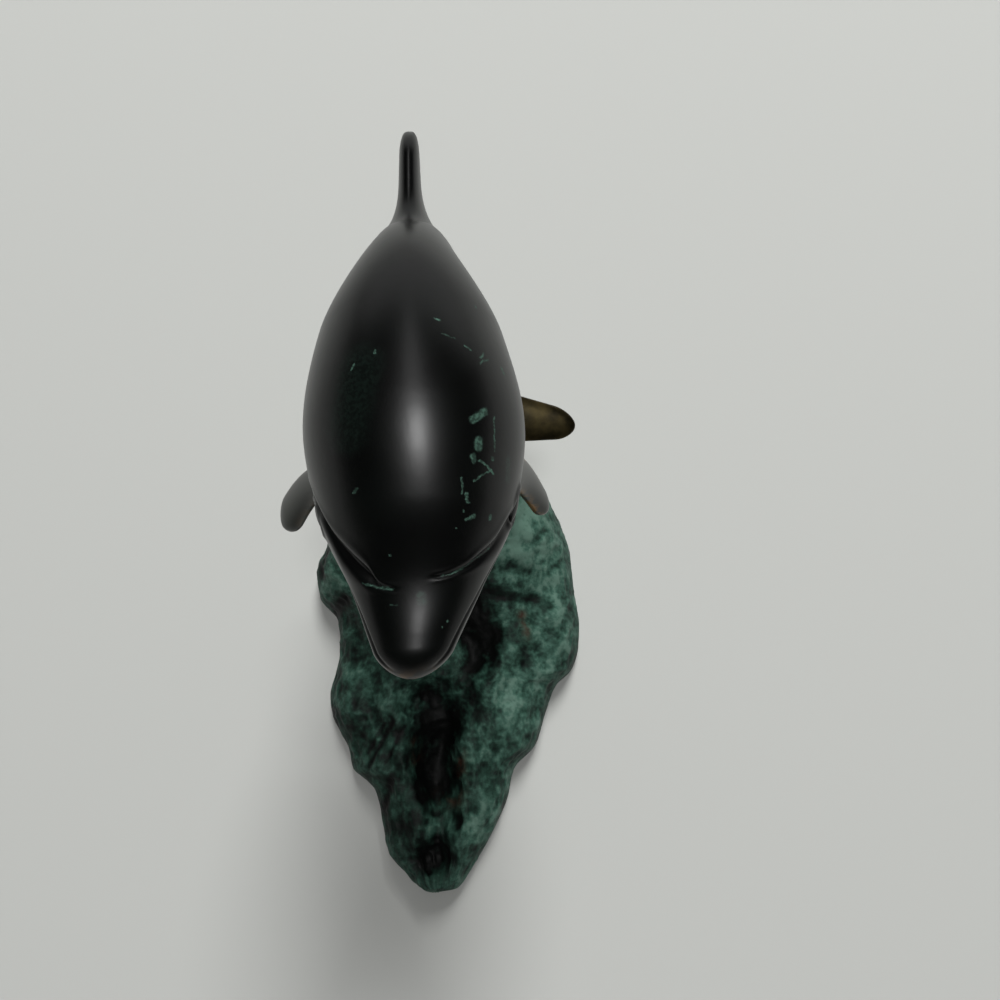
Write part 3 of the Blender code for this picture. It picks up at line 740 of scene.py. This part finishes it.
# %% Hollows and rises in the face
# Each row: place across and along, radii across and along, and height.
SWELLS = (
    (-0.0050, -0.0440, 0.0062, 0.0118, -0.0062),
    (-0.0066, -0.0705, 0.0046, 0.0040, -0.0040),
    (-0.0070, -0.0270, 0.0075, 0.0050, -0.0030),
    (0.0095, -0.0120, 0.0060, 0.0080, -0.0020),
    (0.0275, 0.0165, 0.0050, 0.0045, 0.0014),
    (0.0220, 0.0095, 0.0055, 0.0035, 0.0014),
    (0.0335, 0.0070, 0.0045, 0.0045, 0.0012),
    (0.0190, 0.0030, 0.0060, 0.0028, 0.0012),
    (0.0300, -0.0080, 0.0050, 0.0060, 0.0012),
    (-0.0340, 0.0125, 0.0050, 0.0050, 0.0014),
    (-0.0290, -0.0270, 0.0050, 0.0090, 0.0012),
    (-0.0225, -0.0450, 0.0035, 0.0080, 0.0010),
    (0.0190, -0.0380, 0.0045, 0.0080, 0.0012),
    (0.0090, -0.0530, 0.0045, 0.0070, 0.0012),
    (0.0015, -0.0655, 0.0040, 0.0045, 0.0010),
)


def swell(x, y, place_x, place_y, radius_x, radius_y, height):
    """Height * e^(-near^1.5), where near is the squared distance from the place in radii."""
    near = ((x - place_x) / radius_x) ** 2 + ((y - place_y) / radius_y) ** 2
    return height * np.exp(-near ** 1.5)


# %% Long ripples down the wave
RIPPLE_HEIGHT = 0.0010
BROAD_RIPPLES = 9.0
FINE_RIPPLES = 19.0
FINE_SHARE = 0.7
# Each bend along a ripple: how strong, how long, and where it starts.
RIPPLE_BENDS = ((0.35, 0.0483, 0), (0.2, 0.0203, 1))
RIPPLE_BREAKS = 0.0370


def ripples(v, y):
    """Long ridges that run down from the crest: cosines across, bent and broken by cosines along. The
    numbers added inside them only set where they start."""
    turns = 2 * math.pi * y
    bend = sum(share * np.cos(turns / length + start) for share, length, start in RIPPLE_BENDS)
    broad = np.cos(BROAD_RIPPLES * v + 3.4 + bend)
    fine = np.cos(FINE_RIPPLES * v + 3.0 + 2.0 * bend) * np.cos(turns / RIPPLE_BREAKS + 2 * v)
    return RIPPLE_HEIGHT * (broad + FINE_SHARE * fine)


# %% The wave's main form
FOOT_EVENNESS = 0.45
WAVE_BACK_STEEPNESS = 1.9
WAVE_EDGE = 2.7
WAVE_LEAST = 0.0015
END_STEEPNESS = 6
END_ROUNDNESS = 0.4
TROUGH_DEPTH = 0.0040
TROUGH_WIDTH = 0.36
# Trough and ripples grow from nothing over these lengths: down the face, up from the tongue, and behind.
RELIEF_STARTS = 0.045
RELIEF_ENDS = 0.025
RELIEF_STARTS_BEHIND = 0.012
# Behind the crest the ripples are this much taller.
RELIEF_BEHIND = 2.0


def wave_form(rows, columns):
    """A point lies between its left and right foot at the share v from -1 to 1. Its height is the fall
    from the crest less the trough, plus ripples and swells, times (1 - |v|^e)^(1/e), which is zero at
    the feet. The rows stand closest together at both ends. It gives the points, that last factor,
    and v."""
    pair = np.arange(WAVE_FOOT.shape[1])
    steps = np.linspace(0, 1, rows)
    t = ((1 - FOOT_EVENNESS) * (1 - np.cos(steps * math.pi)) / 2 + FOOT_EVENNESS * steps) * pair[-1]
    left_x, left_y, right_x, right_y = [smooth(t, pair, foot)[:, None] for foot in WAVE_FOOT]
    v = np.sin(np.linspace(-1, 1, columns) * math.pi / 2)[None, :]
    x = left_x + (right_x - left_x) * (v + 1) / 2
    y = left_y + (right_y - left_y) * (v + 1) / 2
    behind = np.maximum(y - CREST_PLACE[1], 0) * (WAVE_BACK_STEEPNESS - 1)
    away = np.hypot(x - CREST_PLACE[0], y - CREST_PLACE[1] + behind)
    z = smooth(away, *zip(*WAVE_FALL))
    front = np.clip((CREST_PLACE[1] - y) / RELIEF_STARTS, 0, 1)
    front = front * np.clip((y - WAVE_FOOT[1, -1]) / RELIEF_ENDS, 0, 1)
    back = np.clip((y - CREST_PLACE[1]) / RELIEF_STARTS_BEHIND, 0, 1) * RELIEF_BEHIND
    relief = -TROUGH_DEPTH * bump(v / TROUGH_WIDTH) * front ** 2 * (3 - 2 * front)
    relief = relief + ripples(v, y) * (front + back)
    for row in SWELLS:
        relief = relief + swell(x, y, *row)
    closing = np.maximum(1 - np.abs(v) ** WAVE_EDGE, 0) ** (1 / WAVE_EDGE)
    ends = np.clip(np.sin(t / pair[-1] * math.pi) * END_STEEPNESS, 0, 1) ** END_ROUNDNESS
    closing = closing * ends[:, None]
    z = np.maximum(z + relief, WAVE_LEAST) * closing
    return np.stack([x, y, z], -1) + CENTRED_BY, closing, v * np.ones_like(y)


# %% [markdown]
# ## Streaks, lumps and cuts on the wave
#
# The real wave was worked in wax with a tool, and the marks run with the water, from the crest to
# the front. They could be a displacement texture. Here they are a solid noise in space, worked out
# at every corner, because that runs without a seam over the steep back and the hollows. Each noise is
# a lattice of random numbers with smooth blends between them, stretched along the flow.

# %% Solid noise
LATTICE = 32


def lattice_noise(points, seed):
    """Random numbers from -1 to 1 stand at whole-number places in space. Between them the eight
    nearest are blended with the weights t^2 (3 - 2 t) in each direction."""
    table = np.random.default_rng(seed).uniform(-1, 1, (LATTICE, LATTICE, LATTICE))
    cell = np.floor(points).astype(int)
    t = points - cell
    t = t * t * (3 - 2 * t)
    total = np.zeros(points.shape[:-1])
    for dx in (0, 1):
        for dy in (0, 1):
            for dz in (0, 1):
                weight = np.prod(np.where([dx, dy, dz], t, 1 - t), axis=-1)
                corner = (cell + [dx, dy, dz]) % LATTICE
                total += weight * table[corner[..., 0], corner[..., 1], corner[..., 2]]
    return total


# %% The wave's streaks, lumps and grain
SHEET_HALF_WIDTH = 0.030
UPWARD_SHARE = 0.3
WANDER = 0.0045
# Each noise: its cell, across, along and upward where these differ, and how far it rises.
WANDER_CELL = 0.012
RIDGE_CELL, RIDGE_RISE = (0.0042, 0.014, 0.02), 0.00014
FINER_CELL, FINER_RISE = (0.0018, 0.006, 0.01), 0.00010
LUMP_CELL, LUMP_RISE = 0.0042, 0.00042
KNOB_CELL, KNOB_RISE = 0.0024, 0.00024
GRAIN_CELL, GRAIN_RISE = 0.0010, 0.00006


def streaks(points, v):
    """Ridges about 3 mm wide and 16 mm long that follow the foot lines, finer ones between them, lumps
    of two sizes, and a fine cast grain. A ridge is one minus twice the size of a noise, so its top is
    sharp. The first coordinate is v times a half width, which lays the ridges along the flow. The last
    number in each call is the seed of that noise."""
    down = np.hypot(points[..., 1] - CREST_PLACE[1], points[..., 2] - CREST_HEIGHT)
    sheet = np.stack([v * SHEET_HALF_WIDTH, down, points[..., 2] * UPWARD_SHARE], -1)
    wander = WANDER * lattice_noise(points / WANDER_CELL, 3)[..., None]
    bent = sheet + wander * np.array([1, 0, 0])
    ridges = 1 - 2 * np.abs(lattice_noise(bent / np.array(RIDGE_CELL), 5))
    finer = 1 - 2 * np.abs(lattice_noise(bent / np.array(FINER_CELL) + 7.3, 8))
    lumps = lattice_noise(points / LUMP_CELL, 11)
    knobs = 1 - 2 * np.abs(lattice_noise(points / KNOB_CELL + 3.1, 17))
    grain = lattice_noise(points / GRAIN_CELL, 21)
    carved = RIDGE_RISE * ridges + FINER_RISE * finer
    return carved + LUMP_RISE * lumps + KNOB_RISE * knobs + GRAIN_RISE * grain


# %% [markdown]
# ## Single cuts, stains, and banks of painted shade
#
# Single cuts and hollows are strokes between two places. A dark stroke is sunk and stained, as grime
# settles there. A bank is painted shade, or painted light where it is paler. A bank or a red stroke only
# changes the colour, and leaves the form alone.

# %% Where the cuts, stains and banks of painted shade are
# Each dark stroke: start and end as x and y, half width, and how dark.
DARK_STROKES = (
    ((-0.0052, -0.0375), (-0.0056, -0.0515), 0.0060, 1.5),
    ((-0.0062, -0.0325), (0.0005, -0.0335), 0.0029, 1.2),
    ((-0.0062, -0.0258), (-0.0036, -0.0285), 0.0030, 1.1),
    ((0.0020, -0.0292), (0.0065, -0.0280), 0.0022, 0.8),
    ((-0.0074, -0.0700), (-0.0050, -0.0702), 0.0041, 1.5),
    ((0.0009, -0.0598), (0.0009, -0.0618), 0.0014, 1.0),
    ((0.0085, -0.0020), (0.0095, -0.0120), 0.0052, 1.2),
    ((0.0165, -0.0012), (0.0270, -0.0008), 0.0013, 0.9),
    ((0.0050, -0.0200), (0.0125, -0.0175), 0.0026, 0.6),
    ((0.0200, -0.0120), (0.0225, -0.0185), 0.0016, 0.5),
    ((-0.0160, -0.0330), (-0.0235, -0.0450), 0.0006, 0.9),
    ((-0.0185, -0.0335), (-0.0238, -0.0412), 0.0005, 0.7),
    ((-0.0125, -0.0345), (-0.0185, -0.0440), 0.0005, 0.6),
    ((-0.0171, -0.0485), (-0.0198, -0.0565), 0.0011, 1.0),
    ((-0.0350, -0.0285), (-0.0322, -0.0385), 0.0014, 0.7),
    ((-0.0292, 0.0022), (-0.0335, -0.0012), 0.0018, 1.0),
    ((-0.0345, 0.0165), (-0.0378, 0.0105), 0.0022, 0.7),
    ((0.0262, 0.0150), (0.0300, 0.0185), 0.0009, 0.8),
    ((0.0300, 0.0062), (0.0345, 0.0105), 0.0010, 0.7),
    ((0.0190, 0.0080), (0.0240, 0.0062), 0.0010, 0.6),
    ((0.0330, -0.0085), (0.0362, -0.0030), 0.0010, 0.5),
)
# Broad banks of painted shade that are darker, or with a minus sign painted light that is paler,
# without being sunk.
PAINTED_SHADE_BANKS = (
    ((-0.0250, -0.0080), (-0.0240, -0.0400), 0.0110, 0.30),
    ((-0.0150, -0.0580), (-0.0150, -0.0660), 0.0070, 0.40),
    ((0.0080, -0.0020), (0.0060, -0.0240), 0.0085, 0.45),
    ((0.0240, 0.0220), (0.0290, 0.0080), 0.0110, -0.40),
    ((-0.0330, 0.0080), (-0.0325, 0.0060), 0.0035, -0.35),
)
# The same for places where the ground shows reddish brown.
RED_STROKES = (
    ((0.0024, -0.0425), (0.0024, -0.0515), 0.0016, 1.0),
    ((0.0218, -0.0055), (0.0232, -0.0110), 0.0014, 1.0),
    ((-0.0028, -0.0545), (0.0005, -0.0550), 0.0020, 0.8),
    ((-0.0100, -0.0390), (-0.0105, -0.0440), 0.0012, 0.6),
)

# %% Strokes, and the wave itself
WAVE_ROWS = 420
WAVE_COLUMNS = 226
STAIN_DEPTH = 0.00045
WORKED_DEPTH = 0.00020
# The fine relief is full at this height over the ground, and at this share of the edge's own closing.
FULL_RELIEF_FROM = 0.006
FULL_RELIEF_INSIDE = 0.35
RELIEF_UNIT = 0.0003


def strokes(points, rows):
    """For each stroke, strength * e^(-(gap / half width)^2), where the gap is the distance in plan to
    the line between its ends. The sum over all strokes is returned."""
    plan = points[..., :2] - CENTRED_BY[:2]
    total = np.zeros(points.shape[:-1])
    for start, end, half_width, strength in rows:
        run = np.subtract(end, start)
        share = np.clip((plan - start) @ run / (run @ run), 0, 1)
        gap = np.linalg.norm(plan - start - share[..., None] * run, axis=-1)
        total += strength * bump(gap / half_width)
    return total


form, edge_room, v = wave_form(WAVE_ROWS, WAVE_COLUMNS)
normal = unit(np.cross(np.gradient(form, axis=1), np.gradient(form, axis=0)) + 1e-12)
normal = normal * np.sign((normal * [0, 0, 1]).sum(-1, keepdims=True) + 1e-9)
room = np.clip(form[..., 2] / FULL_RELIEF_FROM, 0, 1) * np.clip(edge_room / FULL_RELIEF_INSIDE, 0, 1)
fine_relief = streaks(form, v) * room
stains_and_painted_shade = strokes(form, DARK_STROKES)
sunk = fine_relief - (STAIN_DEPTH * np.minimum(stains_and_painted_shade, 1) + WORKED_DEPTH) * room
redness = strokes(form, RED_STROKES)
form = form + normal * sunk[..., None]
wave = piece_from_grid("wave", form, closed_around=False)
store_on_corners(wave, "fine_relief", fine_relief / RELIEF_UNIT)
# The stains get the banks of painted shade, and of painted light where they are paler, added on.
store_on_corners(wave, "stains_and_painted_shade", stains_and_painted_shade + strokes(form, PAINTED_SHADE_BANKS))
store_on_corners(wave, "redness", redness)
print("fine relief from", round(fine_relief.min() * 1000, 2), "to", round(fine_relief.max() * 1000, 2), "mm")

# %% [markdown]
# ## Finishes from a few nodes
#
# A painted picture could colour each piece, but it would blur close up and show a seam. So each finish is
# a small net of nodes, worked out at every point from its own place on the piece, or from numbers that
# the mesh keeps at its corners. These helpers add a node and connect it in one line.

# %% Helpers that add and connect nodes
def new_material(name):
    """A material, its node tree and its shader."""
    material = bpy.data.materials.new(name)
    material.use_nodes = True
    return material, material.node_tree, material.node_tree.nodes["Principled BSDF"]


def connect(tree, node, inputs):
    """Fill a node's inputs. Each takes either a fixed value or another node's output to link."""
    for key, value in dict(inputs).items():
        if isinstance(value, bpy.types.NodeSocket):
            tree.links.new(value, node.inputs[key])
        else:
            node.inputs[key].default_value = value


def add_node(tree, kind, inputs=(), **settings):
    """One node with its settings and its inputs."""
    made = tree.nodes.new(kind)
    for key, value in settings.items():
        setattr(made, key, value)
    connect(tree, made, inputs)
    return made


def maths(tree, operation, first, second=0.0, third=0.0, clamp=False):
    """The result of one sum on numbers."""
    node = add_node(tree, "ShaderNodeMath", {0: first, 1: second, 2: third}, operation=operation,
                    use_clamp=clamp)
    return node.outputs[0]


def vectors(tree, operation, first, second=(0, 0, 0), output=0):
    """The result of one sum on vectors."""
    node = add_node(tree, "ShaderNodeVectorMath", {0: first, 1: second}, operation=operation)
    return node.outputs[output]


def object_place(tree):
    """Where the point is on the piece, in metres."""
    return tree.nodes.new("ShaderNodeTexCoord").outputs["Object"]


def stored(tree, name, output="Fac"):
    """What the mesh keeps at its corners under this name."""
    return add_node(tree, "ShaderNodeAttribute", attribute_name=name).outputs[output]


# %% Helpers for patterns and colours
def noise(tree, place, scale, detail=3.0, roughness=0.55):
    """A cloudy pattern from 0 to 1, with its mean near a half."""
    inputs = {"Vector": place, "Scale": scale, "Detail": detail, "Roughness": roughness}
    return add_node(tree, "ShaderNodeTexNoise", inputs).outputs["Fac"]


def noise_colour(tree, place, scale):
    """Three noises at once, to push a place about."""
    return add_node(tree, "ShaderNodeTexNoise", {"Vector": place, "Scale": scale}).outputs["Color"]


def ramp(tree, value, stops):
    """A colour for each value, blended between the stops."""
    node = add_node(tree, "ShaderNodeValToRGB", {"Fac": value})
    elements = node.color_ramp.elements
    while len(elements) < len(stops):
        elements.new(0.5)
    for element, (position, colour) in zip(elements, stops):
        element.position = position
        element.color = (*colour, 1)
    return node.outputs["Color"]


def blend(tree, share, first, second):
    """Two colours mixed by a share from 0 to 1."""
    first, second = [(*colour, 1) if isinstance(colour, tuple) else colour for colour in (first, second)]
    node = add_node(tree, "ShaderNodeMix", {0: share, 6: first, 7: second}, data_type="RGBA")
    return node.outputs[2]


def soft_step(tree, value, low, high):
    """Zero below low, one above high, and an S-shaped rise between. With low over high it falls."""
    inputs = {"Value": value, "From Min": low, "From Max": high}
    return add_node(tree, "ShaderNodeMapRange", inputs, interpolation_type="SMOOTHSTEP").outputs[0]


def fine_bumps(tree, height, distance, strength):
    """Tilt the shading as if the surface rose and fell by the distance where the height says so."""
    inputs = {"Height": height, "Distance": distance, "Strength": strength}
    return add_node(tree, "ShaderNodeBump", inputs).outputs[0]


# %% [markdown]
# ## Marks in the black patina
#
# The dolphin was blackened with a hot chemical wash and waxed. The black is nearly even, with a soft
# shine. Green copper salts sit in scratches, in one patch on the right flank, and along the inner ends
# of the crease. A painter would dab them on. One broad faint green stroke on the left of the back is a
# painted reflection instead, a green haze beside the shine. Here each mark is a short stroke between two
# places on the skin, given as distance from the snout's tip and angle around the body. A point is inside
# a stroke if it is nearer than the stroke's half width to the line between its ends. The point is first
# pushed about a little by a noise, which breaks up the edge.

# %% Marks on the back and the snout
# Each stroke: start and end, each a distance from the snout's tip and an angle in degrees around the
# body, then half width in metres, and strength.
MARKS = (
    ((0.0167, 140), (0.0156, 125), 0.00020, 0.7),
    ((0.0156, 125), (0.0150, 110), 0.00026, 0.8),
    ((0.0169, 66), (0.0169, 65), 0.00026, 1.0),
    ((0.0169, 62), (0.0180, 49), 0.00015, 0.9),
    ((0.0180, 49), (0.0199, 36), 0.00017, 0.9),
    ((0.0199, 36), (0.0221, 21), 0.00018, 0.8),
    ((0.0427, 57), (0.0446, 50), 0.00070, 0.8),
    ((0.0388, 53), (0.0380, 53), 0.00085, 0.8),
    ((0.0441, 44), (0.0375, 42), 0.00016, 0.7),
    ((0.0363, 43), (0.0361, 43), 0.00040, 0.6),
    ((0.0358, 56), (0.0354, 55), 0.00055, 0.8),
    ((0.0354, 52), (0.0347, 46), 0.00022, 0.9),
    ((0.0347, 46), (0.0337, 41), 0.00024, 0.9),
    ((0.0341, 44), (0.0317, 54), 0.00022, 0.8),
    ((0.0319, 62), (0.0296, 61), 0.00020, 0.6),
    ((0.0294, 58), (0.0281, 57), 0.00038, 0.9),
    ((0.0255, 56), (0.0261, 51), 0.00036, 0.9),
    ((0.0265, 38), (0.0263, 38), 0.00040, 0.9),
    ((0.0267, 59), (0.0266, 59), 0.00022, 0.8),
    ((0.0241, 62), (0.0240, 62), 0.00020, 0.7),
    ((0.0591, 73), (0.0590, 70), 0.00020, 0.9),
    ((0.0568, 70), (0.0563, 63), 0.00014, 0.5),
    ((0.0555, 58), (0.0550, 55), 0.00018, 0.7),
    ((0.0541, 49), (0.0549, 47), 0.00026, 0.6),
    ((0.0543, 44), (0.0532, 50), 0.00022, 0.6),
    ((0.0538, 34), (0.0529, 32), 0.00024, 1.0),
    ((0.0637, 45), (0.0635, 45), 0.00022, 0.5),
    ((0.0542, 104), (0.0540, 104), 0.00030, 1.0),
    ((0.0529, 115), (0.0520, 117), 0.00020, 0.7),
    ((0.0304, 123), (0.0312, 120), 0.00022, 0.7),
    ((0.0136, 83), (0.0127, 82), 0.00080, 0.22),
    ((0.0095, 49), (0.0094, 49), 0.00022, 1.0),
    ((0.0084, 53), (0.0083, 53), 0.00018, 0.5),
    ((0.0124, 113), (0.0122, 106), 0.00018, 0.4),
    ((0.0370, 30), (0.0336, 27), 0.00080, 0.16),
    # This broad faint green stroke is a painted reflection: a green haze beside the shine on the back.
    ((0.0520, 112), (0.0420, 122), 0.00450, 0.05),
    ((0.0203, 107), (0.0202, 107), 0.00022, 0.7),
)


# %% The shape of one mark
# A mark is full inside the first share of its half width, and gone outside the second.
MARK_FULL, MARK_GONE = 0.55, 1.35


def stroke(tree, place, start, end, half_width):
    """One inside the stroke and zero outside. The nearest point of the line is at the share h, which
    is (p - a) . (b - a) / |b - a|^2 held between 0 and 1."""
    run = end - start
    from_start = vectors(tree, "SUBTRACT", place, start)
    share = maths(tree, "DIVIDE", vectors(tree, "DOT_PRODUCT", from_start, run, output=1),
                  float(run @ run), clamp=True)
    scaled = add_node(tree, "ShaderNodeVectorMath", {0: tuple(run), "Scale": share}, operation="SCALE")
    gap = vectors(tree, "DISTANCE", from_start, scaled.outputs[0], output=1)
    return soft_step(tree, gap, half_width * MARK_GONE, half_width * MARK_FULL)


# %% The black patina
BRONZE = (0.300, 0.165, 0.060)
OLD_GREEN = (0.050, 0.110, 0.082)
# The grey of the painted reflection on the flippers.
PAINTED_REFLECTION_GREY = (0.028, 0.030, 0.026)
# Each wobble that breaks up a mark's edge: how fine it is, and how far it reaches in metres.
WOBBLES = ((900, 0.0008), (2600, 0.0004))


def black_patina():
    """Near black with faint brown and green clouds, greyer on the flippers as a painted reflection, green in
    the marks, and bronze where it is worn. The marks are placed on the skin as it was before the carving."""
    material, tree, shader = new_material("black_patina")
    place = object_place(tree)
    clouds = noise(tree, place, 60, 2)
    base = ramp(tree, clouds, ((0.35, (0.0003, 0.0004, 0.0004)), (0.65, (0.0008, 0.0014, 0.0011))))
    broken = stored(tree, "before_carving", "Vector")
    for scale, reach in WOBBLES:
        wobble = vectors(tree, "ADD", noise_colour(tree, place, scale), (-0.5,) * 3)
        broken = vectors(tree, "ADD", broken, vectors(tree, "MULTIPLY", wobble, (reach,) * 3))
    green = None
    for start, end, half_width, strength in MARKS:
        ends = plain_skin(np.array([start[0], end[0]]), np.radians([start[1], end[1]]))
        inside = maths(tree, "MULTIPLY", stroke(tree, broken, ends[0], ends[1], half_width), strength)
        green = inside if green is None else maths(tree, "MAXIMUM", green, inside)
    specks = soft_step(tree, noise(tree, place, 1500, 2), 0.42, 0.60)
    green = maths(tree, "MULTIPLY", green, maths(tree, "MULTIPLY_ADD", specks, 0.65, 0.35))
    # The flippers are greyed by a painted reflection.
    coloured = blend(tree, green, blend(tree, stored(tree, "painted_reflection"), base, PAINTED_REFLECTION_GREY), OLD_GREEN)
    patchy = soft_step(tree, noise(tree, place, 420, 3), 0.36, 0.58)
    rubbed = maths(tree, "MULTIPLY", stored(tree, "worn"), patchy)
    rough = maths(tree, "MULTIPLY_ADD", clouds, 0.08, 0.29)
    connect(tree, shader, {
        "Base Color": blend(tree, rubbed, coloured, BRONZE),
        "Metallic": maths(tree, "MULTIPLY", rubbed, 0.8),
        "Roughness": maths(tree, "MULTIPLY_ADD", green, 0.35, rough),
        "Normal": fine_bumps(tree, noise(tree, place, 500, 3), 0.00003, 0.5),
    })
    return material


patina = black_patina()
for piece in (dolphin_body, dorsal_fin, flipper_left, flipper_right, eye_left, eye_right):
    piece.data.materials.append(patina)
print("the black patina has", len(MARKS), "marks and", len(patina.node_tree.nodes), "nodes")

# %% [markdown]
# ## Worn bronze on the flukes
#
# The flukes are what one picks the figurine up by, so the black has rubbed through to brown gold. This
# could be one more share in the black patina, but a finish of its own is plainer to read and to change.

# %% Worn bronze
def worn_bronze():
    """Brown gold metal, darker in clouds."""
    material, tree, shader = new_material("worn_bronze")
    place = object_place(tree)
    clouds = noise(tree, place, 220, 4)
    connect(tree, shader, {
        "Base Color": ramp(tree, clouds, ((0.35, (0.016, 0.0125, 0.0045)), (0.65, (0.060, 0.046, 0.017)))),
        "Metallic": 0.8,
        "Roughness": maths(tree, "MULTIPLY_ADD", clouds, 0.25, 0.30),
    })
    return material


flukes.data.materials.append(worn_bronze())
print("the worn bronze has", len(flukes.data.materials[0].node_tree.nodes), "nodes")

# %% [markdown]
# ## Verdigris on the wave
#
# The green is thickest on the raised banks and gone to brown black in the hollows. The mesh keeps how
# high each corner stands in the fine relief, and how dark its strokes and its banks of painted shade are,
# and the finish reads both, so the colours follow the form. Clouds of two sizes break it up.

# %% Verdigris
GREEN_START = -0.46
# From the hollows to the raised banks.
GREENS = (
    (0.00, (0.0004, 0.0007, 0.0005)),
    (0.25, (0.0030, 0.0085, 0.0060)),
    (0.50, (0.0120, 0.0330, 0.0235)),
    (0.75, (0.0350, 0.0830, 0.0615)),
    (1.00, (0.0800, 0.1450, 0.1130)),
)
RED_BROWN = (0.040, 0.014, 0.008)


def verdigris():
    """Pale green on what is raised, brown black in the strokes, darker or paler in the banks of painted
    shade and painted light, with clouds and a little red brown.
    """
    material, tree, shader = new_material("verdigris")
    place = object_place(tree)
    clouds = noise(tree, place, 210, 4, 0.6)
    speckle = noise(tree, place, 850, 3, 0.6)
    level = GREEN_START
    # The stored stains carry the banks of painted shade and painted light.
    for cause, share in ((stored(tree, "fine_relief"), 0.17), (clouds, 1.40), (speckle, 0.60),
                         (stored(tree, "stains_and_painted_shade"), -0.55)):
        level = maths(tree, "MULTIPLY_ADD", cause, share, level)
    patches = soft_step(tree, noise(tree, place, 160, 3), 0.42, 0.62)
    red = maths(tree, "MULTIPLY", stored(tree, "redness"), patches)
    red = maths(tree, "MULTIPLY", red, 0.75, clamp=True)
    connect(tree, shader, {
        "Base Color": blend(tree, red, ramp(tree, level, GREENS), RED_BROWN),
        "Roughness": maths(tree, "MULTIPLY_ADD", clouds, 0.20, 0.52),
        "Specular IOR Level": 0.22,
        "Normal": fine_bumps(tree, noise(tree, place, 1100, 4), 0.00015, 0.7),
    })
    return material


wave.data.materials.append(verdigris())
print("the verdigris has", len(wave.data.materials[0].node_tree.nodes), "nodes")

# %% [markdown]
# ## The studio
#
# The figurine stands on a plain pale sheet under a soft lamp overhead. A dim strip of light runs on
# from the lamp to the far side and ends in a broad dim panel. A soft fill from the far side casts the
# broad shadow in front of the wave, and isn't mirrored in the patina. The room is pale low down and dark
# above, so that the black patina shows dark between its bright edges. It is dimmer in front, on the
# camera's side.

# %% Floor and lamps
def make_floor(half):
    """A plain pale sheet under the figurine."""
    mesh = bpy.data.meshes.new("floor")
    corners = [(x * half, y * half, 0) for x, y in ((-1, -1), (1, -1), (1, 1), (-1, 1))]
    mesh.from_pydata(corners, [], [(0, 1, 2, 3)])
    floor = bpy.data.objects.new("floor", mesh)
    bpy.context.scene.collection.objects.link(floor)
    material, tree, shader = new_material("pale_sheet")
    connect(tree, shader, {"Base Color": (0.440, 0.447, 0.428, 1), "Roughness": 0.9})
    mesh.materials.append(material)


def make_lamp(name, place, turn, size, power):
    """A soft lamp at a place, with its turn in degrees, its width and length in metres and its power
    in watts. Unturned it faces straight down, with its sides along X and Y."""
    light = bpy.data.lights.new(name, "AREA")
    light.shape = "ELLIPSE"
    light.size, light.size_y = size
    light.energy = power
    lamp = bpy.data.objects.new(name, light)
    lamp.location = place
    lamp.rotation_euler = [math.radians(angle) for angle in turn]
    bpy.context.scene.collection.objects.link(lamp)
    return lamp


make_floor(half=2.5)
make_lamp("overhead", (0.22, -0.31, 2.4), (0, 0, 0), (0.38, 0.46), 18)
make_lamp("strip", (0.15, 1.15, 2.4), (0, 0, 0), (0.60, 2.9), 6)
make_lamp("far_side", (0.60, 2.3, 1.1), (-65, 0, 0), (5.5, 1.3), 10)
soft_fill = make_lamp("soft_fill", (0.32, 1.5, 1.8), (-40, 0, -12), (0.9, 0.9), 62)
soft_fill.visible_glossy = False
print("there are", len(bpy.data.lights), "lamps")

# %% The room around it
PALE_LOW = 0.5
DARK_HIGH = 0.01
LEFT_IN_FRONT = 0.5
# Where the room changes: upward from pale to dark, and backward from dim to full.
DARK_OVER, PALE_UNDER = 0.25, 0.03
FRONT_DIM_TO, FRONT_FULL_FROM = -0.95, -0.15
world = bpy.data.worlds.new("studio")
world.use_nodes = True
room_tree = world.node_tree
direction = room_tree.nodes.new("ShaderNodeTexCoord").outputs["Generated"]
direction_parts = add_node(room_tree, "ShaderNodeSeparateXYZ", {0: direction}).outputs
low_down = soft_step(room_tree, direction_parts["Z"], DARK_OVER, PALE_UNDER)
not_in_front = soft_step(room_tree, direction_parts["Y"], FRONT_DIM_TO, FRONT_FULL_FROM)
not_in_front = maths(room_tree, "MULTIPLY_ADD", not_in_front, 1 - LEFT_IN_FRONT, LEFT_IN_FRONT)
low_down = maths(room_tree, "MULTIPLY", low_down, not_in_front)
level = maths(room_tree, "MULTIPLY_ADD", low_down, PALE_LOW - DARK_HIGH, DARK_HIGH)
connect(room_tree, room_tree.nodes["Background"], {"Color": (1, 1, 0.98, 1), "Strength": level})
bpy.context.scene.world = world
print("the room's light goes from", PALE_LOW, "low down to", DARK_HIGH, "high up")

# %% [markdown]
# ## The camera
#
# The picture was taken from close above, looking steeply down past the dolphin's nose.

# %% Camera and colour
LENS_MM = 34.956
SENSOR_MM = 36
NEAREST_SEEN = 0.01
CAMERA_PLACE = (0.0135, -0.04705, 0.2938)
CAMERA_TILT = 15
CAMERA_TURN = -2.88
camera_data = bpy.data.cameras.new("camera")
camera_data.lens = LENS_MM
camera_data.sensor_width = SENSOR_MM
camera_data.clip_start = NEAREST_SEEN
camera = bpy.data.objects.new("camera", camera_data)
camera.location = CAMERA_PLACE
camera.rotation_euler = (math.radians(CAMERA_TILT), 0, math.radians(CAMERA_TURN))
bpy.context.scene.collection.objects.link(camera)
bpy.context.scene.camera = camera
bpy.context.scene.view_settings.view_transform = "Standard"
over_top = CAMERA_PLACE[2] - packed_high[2]
print("the camera is", round(over_top * 1000), "mm over the highest point")

# %% [markdown]
# ## Sizes
#
# The finer surfaces are held inside the box of the imported casting, and that box is printed.

# %% Print the packed box and finish
print("packed box", [round(value * 1000, 2) for value in (*packed_low, *packed_high)])
